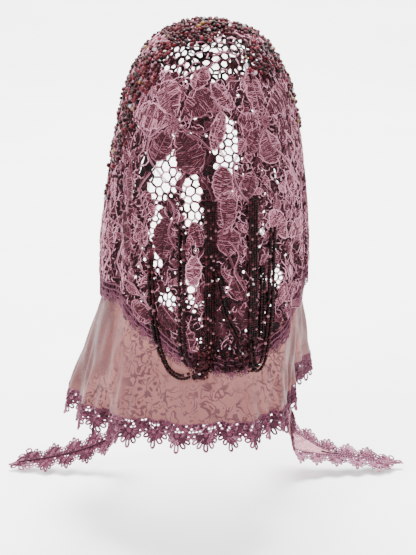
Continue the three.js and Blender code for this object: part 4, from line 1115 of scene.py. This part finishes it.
def fan_loops(pitch, ladder, radius):
    """One fan of the trim, u along the hem and v below it: closed loops, each with its wire and points."""
    small = circle(8)

    def oval(u, v, wide, high):
        return np.stack([u + wide * np.cos(small), v + high * np.sin(small)], 1)

    loops = []
    rows = max(1, round(ladder / LADDER_ROW))
    high = ladder / rows
    for row in range(rows):
        for k in range(LADDER_RINGS):
            u = (k + 0.5 + 0.5 * (row % 2) - LADDER_RINGS / 2) * pitch / LADDER_RINGS
            loops.append((0.62, oval(u, (row + 0.5) * high, pitch / LADDER_RINGS * 0.5, high * 0.52)))
    heart = ladder + radius * 0.08
    inner = radius * 0.24
    around = circle(14)
    widest = math.radians(82)
    for index in range(FAN_LOOPS):
        turn = widest * (2 * index / (FAN_LOOPS - 1) - 1)
        long = radius * (0.98 if index == FAN_LOOPS // 2 else 0.88 - 0.12 * abs(turn) / widest)
        share = 0.5 - 0.5 * np.cos(around)
        along = inner + (long - inner) * share
        across = np.sin(around) * radius * 0.118 * (0.45 + 0.85 * share ** 2)
        loops.append((0.86, np.stack([along * math.sin(turn) + across * math.cos(turn),
                                      heart + along * math.cos(turn) - across * math.sin(turn)], 1)))
    for turn in (-1.25, -0.63, 0, 0.63, 1.25):
        u, v = radius * 0.3 * math.sin(turn), heart + radius * 0.3 * math.cos(turn)
        loops.append((0.72, oval(u, v, 1.35, 1.35)))
    for side in (-1, 1):
        for at, low, size in ((0.5, 1.9, 1.6), (0.41, 4.7, 1.3)):
            loops.append((0.6, oval(side * pitch * at, ladder + low, size, size)))
    return loops


def fan_trim(cords, line, hang, pitch, ladder, radius, thick, fill, shut_share):
    """Fans along a line, each lying along hang there, with close ground over a share of the fans and ladder."""
    along = lengths_along(line)
    total = along[-1]
    count = max(2, int(round(total / pitch)))
    pitch = total / count

    def surface(s, v, lift):
        s = np.clip(s, 0, total)
        low = unit(along_rows(s, along, hang))
        ahead, behind = (along_rows(np.clip(s + step, 0, total), along, line) for step in (1, -1))
        out = unit(np.cross(unit(ahead - behind), low))
        place = along_rows(s, along, line) + low * np.asarray(v)[..., None] + out * np.asarray(lift)[..., None]
        return place, out

    middles = (np.arange(count) + 0.5) * pitch
    own = rng.uniform(-0.1, 0.1, count)
    rows = max(1, round(ladder / LADDER_ROW))
    cells = int(round(total / pitch)) * LADDER_RINGS
    small = circle(6)
    for row in range(rows):
        shut = np.flatnonzero(rng.uniform(0, 1, cells) < shut_share)
        cell_u = (shut + 0.5 + 0.5 * (row % 2)) * total / cells
        cell_v = np.full(len(shut), (row + 0.5) * ladder / rows)
        outline, _ = surface(cell_u[:, None] + 1.8 * np.cos(small), cell_v[:, None] + 1.8 * np.sin(small), -0.1)
        cell_middle, _ = surface(cell_u, cell_v, -0.2)
        cords.fans(outline, cell_middle, rng.uniform(0.05, 0.45, len(shut)))
    for wire, loop in fan_loops(pitch, ladder, radius):
        u = middles[:, None] + loop[None, :, 0]
        v = np.broadcast_to(loop[None, :, 1], u.shape) + own[:, None]
        points, normal = surface(u, v, 0.4 * np.sin(u * 0.9 + v * 0.7) + 0.3)
        cords.tubes(points, normal, wire * thick, 4 if len(loop) > 8 else 3, closed=True,
                    tone=own + rng.uniform(0.42, 0.86, count))
    s = np.arange(0, total + 0.01, 2.0)
    for v in (0.35, ladder * 0.97):
        cords.tube(surface(s, v + 0.25 * np.sin(s * 1.9), 0.4), 0.75 * thick, 4, tone=0.62)
    knobs, normal = surface(middles, ladder + radius * 1.02, 0.0)
    cords.beads(knobs, normal, 1.15 * thick, 0.8, tone=0.6)
    hearts, normal = surface(middles, ladder + radius * 0.1, 0.3)
    cords.beads(hearts, normal, 2.3 * thick, 0.35, tone=0.5)
    turn = np.linspace(-1.65, 1.65, 12)
    reach = radius * fill
    u = middles[:, None] + reach * np.sin(turn)
    v = ladder + radius * 0.08 + reach * np.cos(turn) * (1 + 0.08 * np.cos(turn * FAN_LOOPS * 1.1)) + 0 * u
    outline, _ = surface(u, v, -0.25)
    cords.fans(outline, hearts - normal * 0.5, rng.uniform(0.1, 0.3, count))


def make_veil():
    first, last = VEIL_STATIONS[0, 0], VEIL_STATIONS[-1, 0]
    azimuths = np.linspace(first, last, VEIL_COLUMNS)[:, None]
    falls = np.linspace(0, 1, VEIL_ROWS)[None]
    points = veil_points(azimuths, falls)
    # denser behind the neck, along the gathers below the seam, and on the crests of the pleats
    crest = np.sin(2 * math.pi * PLEATS * (azimuths - first) / (last - first))
    gathers = np.sin(azimuths * 1.9 + 3 * falls) * np.sin(azimuths * 0.83 + 1) * (1 - falls) ** 1.5
    tone = (0.44 + 0.4 * np.exp(-((azimuths + 3) / 50) ** 2) * smooth(falls, 0.1, 0.5) + 0.1 * crest * falls
            + 0.16 * gathers + 0.3 * smooth(falls, 0.9, 1))
    skin = Sculpt()
    skin.sheet(points, tone.ravel(), np.stack(np.broadcast_arrays(azimuths * 2.0, falls * 120), axis=-1))
    veil = skin.build("veil_tulle", TULLE)
    hem = veil_points(np.linspace(first, last, 400), 1.0)
    above = veil_points(np.linspace(first, last, 400), 0.8)
    hang = unit(unit(hem - above) + np.array((0, 0, -1.0)))
    cords = Sculpt()
    fan_trim(cords, hem, hang, FAN_PITCH, LADDER, FAN, 1.12, 0.56, 0.72)
    return veil, cords.build("hem_fans", TRIM)


def tie_edges(side, sewn, route):
    half = math.degrees(TIE_WIDTH / CAP_WIDTH)
    inside = -(GAP + CLOTH + 0.8 + CLOTH / 2)
    release = VEIL_OVERLAP + BORDER_WIDTH

    def sewn_point(azimuth, below):
        return on_lace(azimuth, net_edge(azimuth) + below - VEIL_OVERLAP, inside)[0]

    edge_a = [sewn_point(sewn + side * half, 0), sewn_point(sewn + side * half, release)]
    edge_b = [sewn_point(sewn - side * half, 0), sewn_point(sewn - side * half, release)]
    for ax, ay, ad, bx, by, bd in route:
        edge_a.append(np.array((side * ax * TIE_REACH, ay * TIE_FORWARD, -ad * TIE_DROP)))
        edge_b.append(np.array((side * bx * TIE_REACH, by * TIE_FORWARD, -bd * TIE_DROP)))
    return catmull(edge_a, TIE_STEPS), catmull(edge_b, TIE_STEPS)


def make_tie(name):
    """Tie that is sheer behind the veil and gathers to a fold between its two trims towards the tip."""
    side, sewn, route = TIES[name]
    edge_a, edge_b = tie_edges(side, sewn, route)
    far = np.linspace(0, 1, TIE_STEPS + 1)[:, None]
    kept = 1 - (1 - TIE_FOLDED) * smooth(far, *TIE_NARROWS[name])
    middle = (edge_a + edge_b) / 2
    edge_a = middle + (edge_a - middle) * kept
    edge_b = middle + (edge_b - middle) * kept
    across = np.linspace(0, 1, 13)
    points = edge_a[:, None] * (1 - across[None, :, None]) + edge_b[:, None] * across[None, :, None]
    normal = grid_normals(points)
    wave = 1.3 * np.sin(across[None] * 3 * math.pi + far * 5) * np.sin(math.pi * across[None]) * kept
    points = points + normal * wave[..., None]
    uv = np.stack(np.broadcast_arrays(far * 380, across[None] * 24), axis=-1)
    tone = 0.5 + 0.14 * np.sin(far * 31 + across[None] * 9) * np.sin(across[None] * 7)
    seam = int(TIE_SEEN * TIE_STEPS)
    skins = []
    for part, rows, material in (("upper", slice(0, seam + 1), SHEER), ("lower", slice(seam, None), TIE_TULLE)):
        skin = Sculpt()
        skin.sheet(points[rows], tone[rows].ravel(), uv[rows])
        skins.append(skin.build(f"tie_{name}_{part}", material))
    low = int(TIE_TRIM_START * TIE_STEPS)
    out = unit(edge_a[low:] - edge_b[low:])
    tip = unit(edge_a[-1] - edge_a[-8])
    turn = smooth(np.linspace(TIE_TRIM_START, 1, len(out)), 0.93, 1)[:, None]
    line = np.concatenate([edge_a[low:], edge_b[low:][::-1]])
    hang = np.concatenate([out * (1 - turn) + tip * turn, (-out * (1 - turn) + tip * turn)[::-1]])
    steps = np.linalg.norm(np.diff(line, axis=0), axis=1)
    keep = np.concatenate([[True], steps > 1e-4])
    cords = Sculpt()
    fan_trim(cords, line[keep], unit(hang[keep]), 21.0, TIE_LADDER, TIE_FAN, 1.05, 0.62, 0.9)
    fold = np.flatnonzero(kept[:, 0] < 0.25)
    crease = (edge_a[fold] + edge_b[fold]) / 2 + normal[fold, 6] * 0.4
    cords.tube((crease, normal[fold, 6]), 1.0, 5, tone=0.02)
    return skins, cords.build(f"tie_{name}_fans", TRIM)


# Beadwork
def back_place(x, drop):
    """Azimuth and distance from a share of half the cap's width and a share of its drop."""
    azimuth = math.degrees(math.asin(max(-1, min(1, x))))
    distance = 0.0
    for _ in range(8):
        column = SURFACE[int(round(azimuth)) + 180]
        distance = float(np.interp(drop * CAP_DROP, -column[:, 2], DOWN))
        reached = float(on_lace(azimuth, distance)[0][0]) * 2 / CAP_WIDTH
        azimuth += math.degrees(x - reached)
    return azimuth, distance


def string_rows(sculpt, route, offsets, size, lift=3.2):
    """Rows of seed beads of one size side by side along a route of azimuths and distances."""
    line = catmull(route, 160)
    points, normal = on_lace(line[:, 0], line[:, 1], lift)
    tangent = unit(np.gradient(points, axis=0))
    side = unit(np.cross(tangent, normal))
    for offset in offsets:
        beads = resample(points + side * offset, size * 0.84)
        ahead = unit(np.gradient(beads, axis=0))
        count = len(beads)
        beads = beads + rng.normal(0, 0.07, (count, 3))
        ahead = ahead + rng.normal(0, 0.08, (count, 3))
        radii = size / 2 * rng.uniform(0.92, 1.08, count)
        # one bead in twenty takes the lightest colour as a painted glint
        painted_glint = rng.uniform(0, 1, count) < 0.05
        tone = np.where(painted_glint, 1.0, np.clip(rng.normal(0.3, 0.25, count), 0, 0.85))
        sculpt.beads(beads, ahead, radii, 0.92, tone=tone)


def hem_beads(sculpt, count, box, lift=(2.2, 5.0), size=(0.9, 1.5), tone=0.45, form="round"):
    x = rng.uniform(box[0], box[1], count)
    y = rng.uniform(box[2], box[3], count)
    for k in range(count):
        place = from_photo(x[k], y[k])
        if place is None:
            continue
        point, _ = on_lace(*place, rng.uniform(*lift))
        sculpt.beads(point[None], rng.normal(0, 1, (1, 3)), rng.uniform(*size), 0.8,
                     tone=rng.uniform(tone - 0.3, tone + 0.3), form=form)


# centre x, centre y, reach x, reach y, how many; pixels of the frame
BEAD_PATCHES = [
    (182, 38, 14, 11, 85), (207, 36, 9, 8, 55), (163, 52, 12, 12, 60), (150, 66, 13, 12, 65),
    (140, 84, 11, 14, 65), (131, 100, 10, 14, 50), (127, 120, 9, 16, 45), (121, 140, 7, 18, 40),
    (115, 165, 6, 16, 30), (205, 24, 18, 6, 60), (235, 30, 20, 7, 60), (262, 44, 16, 11, 60),
    (282, 62, 10, 12, 45), (292, 88, 8, 18, 40), (298, 112, 5, 16, 26), (258, 62, 16, 14, 45),
    (158, 84, 5, 8, 12), (170, 30, 16, 8, 45), (110, 188, 4, 12, 14),
]


def make_crown_beads():
    beads, amber, crystal, bugles = Sculpt(), Sculpt(), Sculpt(), Sculpt()
    places = []
    for cx, cy, rx, ry, count in BEAD_PATCHES:
        for _ in range(int(count * 1.5)):
            radius = math.sqrt(rng.uniform(0, 1))
            turn = rng.uniform(0, 2 * math.pi)
            place = from_photo(cx + rx * radius * math.cos(turn), cy + ry * radius * math.sin(turn))
            if place is not None:
                places.append(place)

    def front(azimuth, distance):
        side = np.abs(wrapped(azimuth))
        over = (side > 80) | (distance < 26)
        reach = np.where(side > 118, 78, np.where(wrapped(azimuth) < 0, 168, 150))
        clumps = np.sin(azimuth * 0.16 + distance * 0.11) + np.sin(distance * 0.19 - azimuth * 0.07 + 2)
        return over & (distance < reach) & (distance > 3) & (clumps > -0.7)

    more_az, more_d = scatter(SIDE_BEADS, lambda a, d: np.full(np.shape(a), 3.9), front, tries=14)
    places += list(zip(more_az, more_d))
    places = np.array(places)
    points, normal = on_lace(places[:, 0], places[:, 1], 1.9)
    kept = spaced(points, np.full(len(points), BEAD_APART), 3.0)
    points, normal = points[kept], normal[kept]
    count = len(points)
    points = points + normal * rng.uniform(-0.6, 1.3, count)[:, None]
    kind = rng.uniform(0, 1, count)
    axes = normal * 0.3 + rng.normal(0, 1, (count, 3))
    size = rng.uniform(1.6, 2.4, count)
    round_ones = kind < 0.96
    beads.beads(points[round_ones], axes[round_ones], size[round_ones], 0.82,
                tone=np.clip(rng.normal(0.42, 0.3, round_ones.sum()), 0, 1))
    gold = (kind >= 0.96) & (kind < 0.985)
    amber.beads(points[gold], axes[gold], size[gold], 0.85, tone=rng.uniform(0, 1, gold.sum()))
    clear = kind >= 0.985
    crystal.beads(points[clear], axes[clear], size[clear] * 1.05, 0.9, tone=rng.uniform(0, 1, clear.sum()),
                  form="facet")
    for px, py in ((113, 115), (115, 120), (199, 30), (203, 27), (291, 92), (289, 100)):
        place = from_photo(px, py)
        if place is not None:
            point, _ = on_lace(*place, 3.6)
            amber.beads(point[None], rng.normal(0, 1, (1, 3)), 1.9, 0.9, tone=0.8)
    for _ in range(70):
        px, py = rng.uniform(230, 276), rng.uniform(40, 78)
        place = from_photo(px, py)
        if place is None:
            continue
        ahead = from_photo(px + rng.uniform(1, 4), py + 6)
        if ahead is None:
            continue
        a, b = on_lace(*place, 2.2)[0], on_lace(*ahead, 2.2)[0]
        bugles.beads(((a + b) / 2)[None], (b - a)[None], 0.95, 3.2, tone=rng.uniform(0, 0.6), form="bugle")
    return beads, amber, crystal, bugles


# Build
make_camera()

motif_leaves, motif_cords, motif_threads = make_motifs()
net_points, net_normals, net_radius, net_tone, bar_az, net_grounds = make_net()
lace_pieces = []
for half_name, chosen in (("back", np.abs(bar_az) < PARTED), ("front", np.abs(bar_az) >= PARTED)):
    net = Sculpt()
    net.tubes(net_points[chosen], net_normals[chosen], net_radius[chosen], 3, tone=net_tone[chosen])
    lace_pieces.append(net.build(f"lace_net_{half_name}", LACE))
    lace_pieces.append(net_grounds[half_name].build(f"lace_ground_{half_name}", GROUND))
lace_pieces.append(motif_leaves.build("lace_petals", SATIN))
lace_pieces.append(motif_cords.build("lace_cords", LACE))
lace_pieces.append(motif_threads.build("lace_threads", LACE))
for piece in lace_pieces:
    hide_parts("lace_cap")

border_cords, border_leaves, border_ground = make_border()
for piece in (
        border_cords.build("edging_cords", EDGE_THREAD), border_leaves.build("edging_leaves", EDGE_THREAD),
        border_ground.build("edging_ground", GROUND)):
    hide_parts("lace_border")

veil_piece, veil_fans = make_veil()
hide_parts("tulle_veil")
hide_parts("veil_trim")
for tie_name in TIES:
    tie_skins, tie_fans = make_tie(tie_name)
    for tie_skin in tie_skins:
        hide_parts(f"tie_{tie_name}")
    # the lower half is cut to a taper, which lies folded between the two trims
    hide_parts(f"tie_{tie_name}_trim")

crown_round, crown_amber, crown_crystal, crown_bugles = make_crown_beads()
for sculpt, piece_name, material, slot_name, flat in (
        (crown_round, "crown_beads", CROWN, "crown_beads", False),
        (crown_amber, "crown_amber_beads", AMBER, "amber_beads", False),
        (crown_crystal, "crown_crystals", CRYSTAL, "crystals", True),
        (crown_bugles, "crown_bugles", GARNET, "seed_beads", True)):
    piece = sculpt.build(piece_name, material, flat)
    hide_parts("crown_bead_field")

for string_name, shares in STRINGS.items():
    rows = Sculpt()
    apart = STRING_APART[string_name]
    string_rows(rows, [back_place(x, drop) for x, drop in shares], (-apart, apart), LOOP_BEAD)
    piece = rows.build(f"seed_rows_{string_name}", GARNET)
    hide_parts(f"bead_loop_{string_name}")
for bundle_name, (strings, pitch, x, top, bottom) in BUNDLES.items():
    rows = Sculpt()
    route = [back_place(x, top + (bottom - top) * t) for t in np.linspace(0, 1, 7)]
    string_rows(rows, route, [(k - (strings - 1) / 2) * pitch for k in range(strings)], BUNDLE_BEAD, lift=4.4)
    string_rows(rows, route, [(k - strings / 2 + 1) * pitch for k in range(strings - 1)], BUNDLE_BEAD, lift=2.6)
    piece = rows.build(f"seed_rows_{bundle_name}", GARNET)
    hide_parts(f"bead_bundle_{bundle_name}")

cluster, sparks = Sculpt(), Sculpt()
hem_beads(cluster, 150, (193, 206, 352, 378), size=(1.0, 1.6), tone=0.5)
hem_beads(cluster, 230, (200, 255, 347, 371), size=(0.9, 1.35), tone=0.35)
hem_beads(sparks, 8, (193, 206, 358, 378), size=(0.9, 1.3), form="facet")
for px, py in ((186, 293), (181, 303), (206, 294), (215, 280), (248, 278), (249, 283), (258, 275), (195, 371),
               (198, 372), (256, 363), (228, 347), (221, 349), (240, 352)):
    box = (px - 0.5, px + 0.5, py - 0.5, py + 0.5)
    hem_beads(sparks, 1, box, lift=(4.5, 5.5), size=(1.0, 1.4), form="facet")
for sculpt, piece_name, material, slot_name, flat in (
        (cluster, "hem_beads", GARNET, "seed_beads", False),
        (sparks, "hem_crystals", CRYSTAL, "crystals", True)):
    piece = sculpt.build(piece_name, material, flat)
    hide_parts("hem_bead_cluster")


# Stage and light
FLOOR_Z, FLOOR_NEAR, WALL_Y, WALL_TOP = -0.4685, -5.0, 3.9, 2.6
BEND, BEND_STEPS, HALF_WIDE = 1.3, 12, 6.0


def make_stage():
    """Paper backdrop: a floor that bends up into a wall, seen from behind the head as well."""
    profile = [(FLOOR_NEAR, FLOOR_Z), (WALL_Y - BEND, FLOOR_Z)]
    for k in range(1, BEND_STEPS + 1):
        angle = math.pi / 2 * k / BEND_STEPS
        profile.append((WALL_Y - BEND + BEND * math.sin(angle), FLOOR_Z + BEND - BEND * math.cos(angle)))
    profile.append((WALL_Y, WALL_TOP))
    verts = [(x, y, z) for y, z in profile for x in (-HALF_WIDE, HALF_WIDE)]
    faces = [(2 * k, 2 * k + 1, 2 * k + 3, 2 * k + 2) for k in range(len(profile) - 1)]
    mesh = bpy.data.meshes.new("studio_floor")
    mesh.from_pydata(verts, [], faces)
    mesh.polygons.foreach_set("use_smooth", [True] * len(faces))
    material, tree, shader = new_material("studio_paper")
    grey = ramp(tree, noise(tree, 6.0, 2.0), [(0.3, (0.9, 0.9, 0.893)), (0.7, (0.94, 0.94, 0.933))])
    tree.links.new(grey, shader.inputs["Base Color"])
    set_inputs(shader, {"Roughness": 0.85})
    mesh.materials.append(material)
    floor = bpy.data.objects.new("studio_floor", mesh)
    bpy.context.scene.collection.objects.link(floor)


make_stage()
for light_name, light_place, target, light_size, energy in (
        ("key_light", (-1.3, -1.7, 1.5), (0, 0, -0.15), 0.9, 92),
        ("fill_light", (1.6, -1.3, 0.7), (0, 0, -0.2), 1.2, 32),
        ("back_light", (0.3, 1.1, 1.5), (0, 0, -0.1), 1.0, 24),
        ("backdrop_light", (0, 1.1, 3.0), (0, 2.6, -0.45), 2.4, 640)):
    lamp = bpy.data.lights.new(light_name, "AREA")
    lamp.shape = "DISK"
    lamp.size = light_size
    lamp.energy = energy
    light = bpy.data.objects.new(light_name, lamp)
    light.location = light_place
    light.rotation_euler = (Vector(target) - Vector(light_place)).to_track_quat("-Z", "Y").to_euler()
    bpy.context.scene.collection.objects.link(light)
world = bpy.data.worlds.new("studio_world")
world.use_nodes = True
set_inputs(world.node_tree.nodes["Background"], {"Color": (0.97, 0.965, 0.955, 1), "Strength": 1.2})
bpy.context.scene.world = world
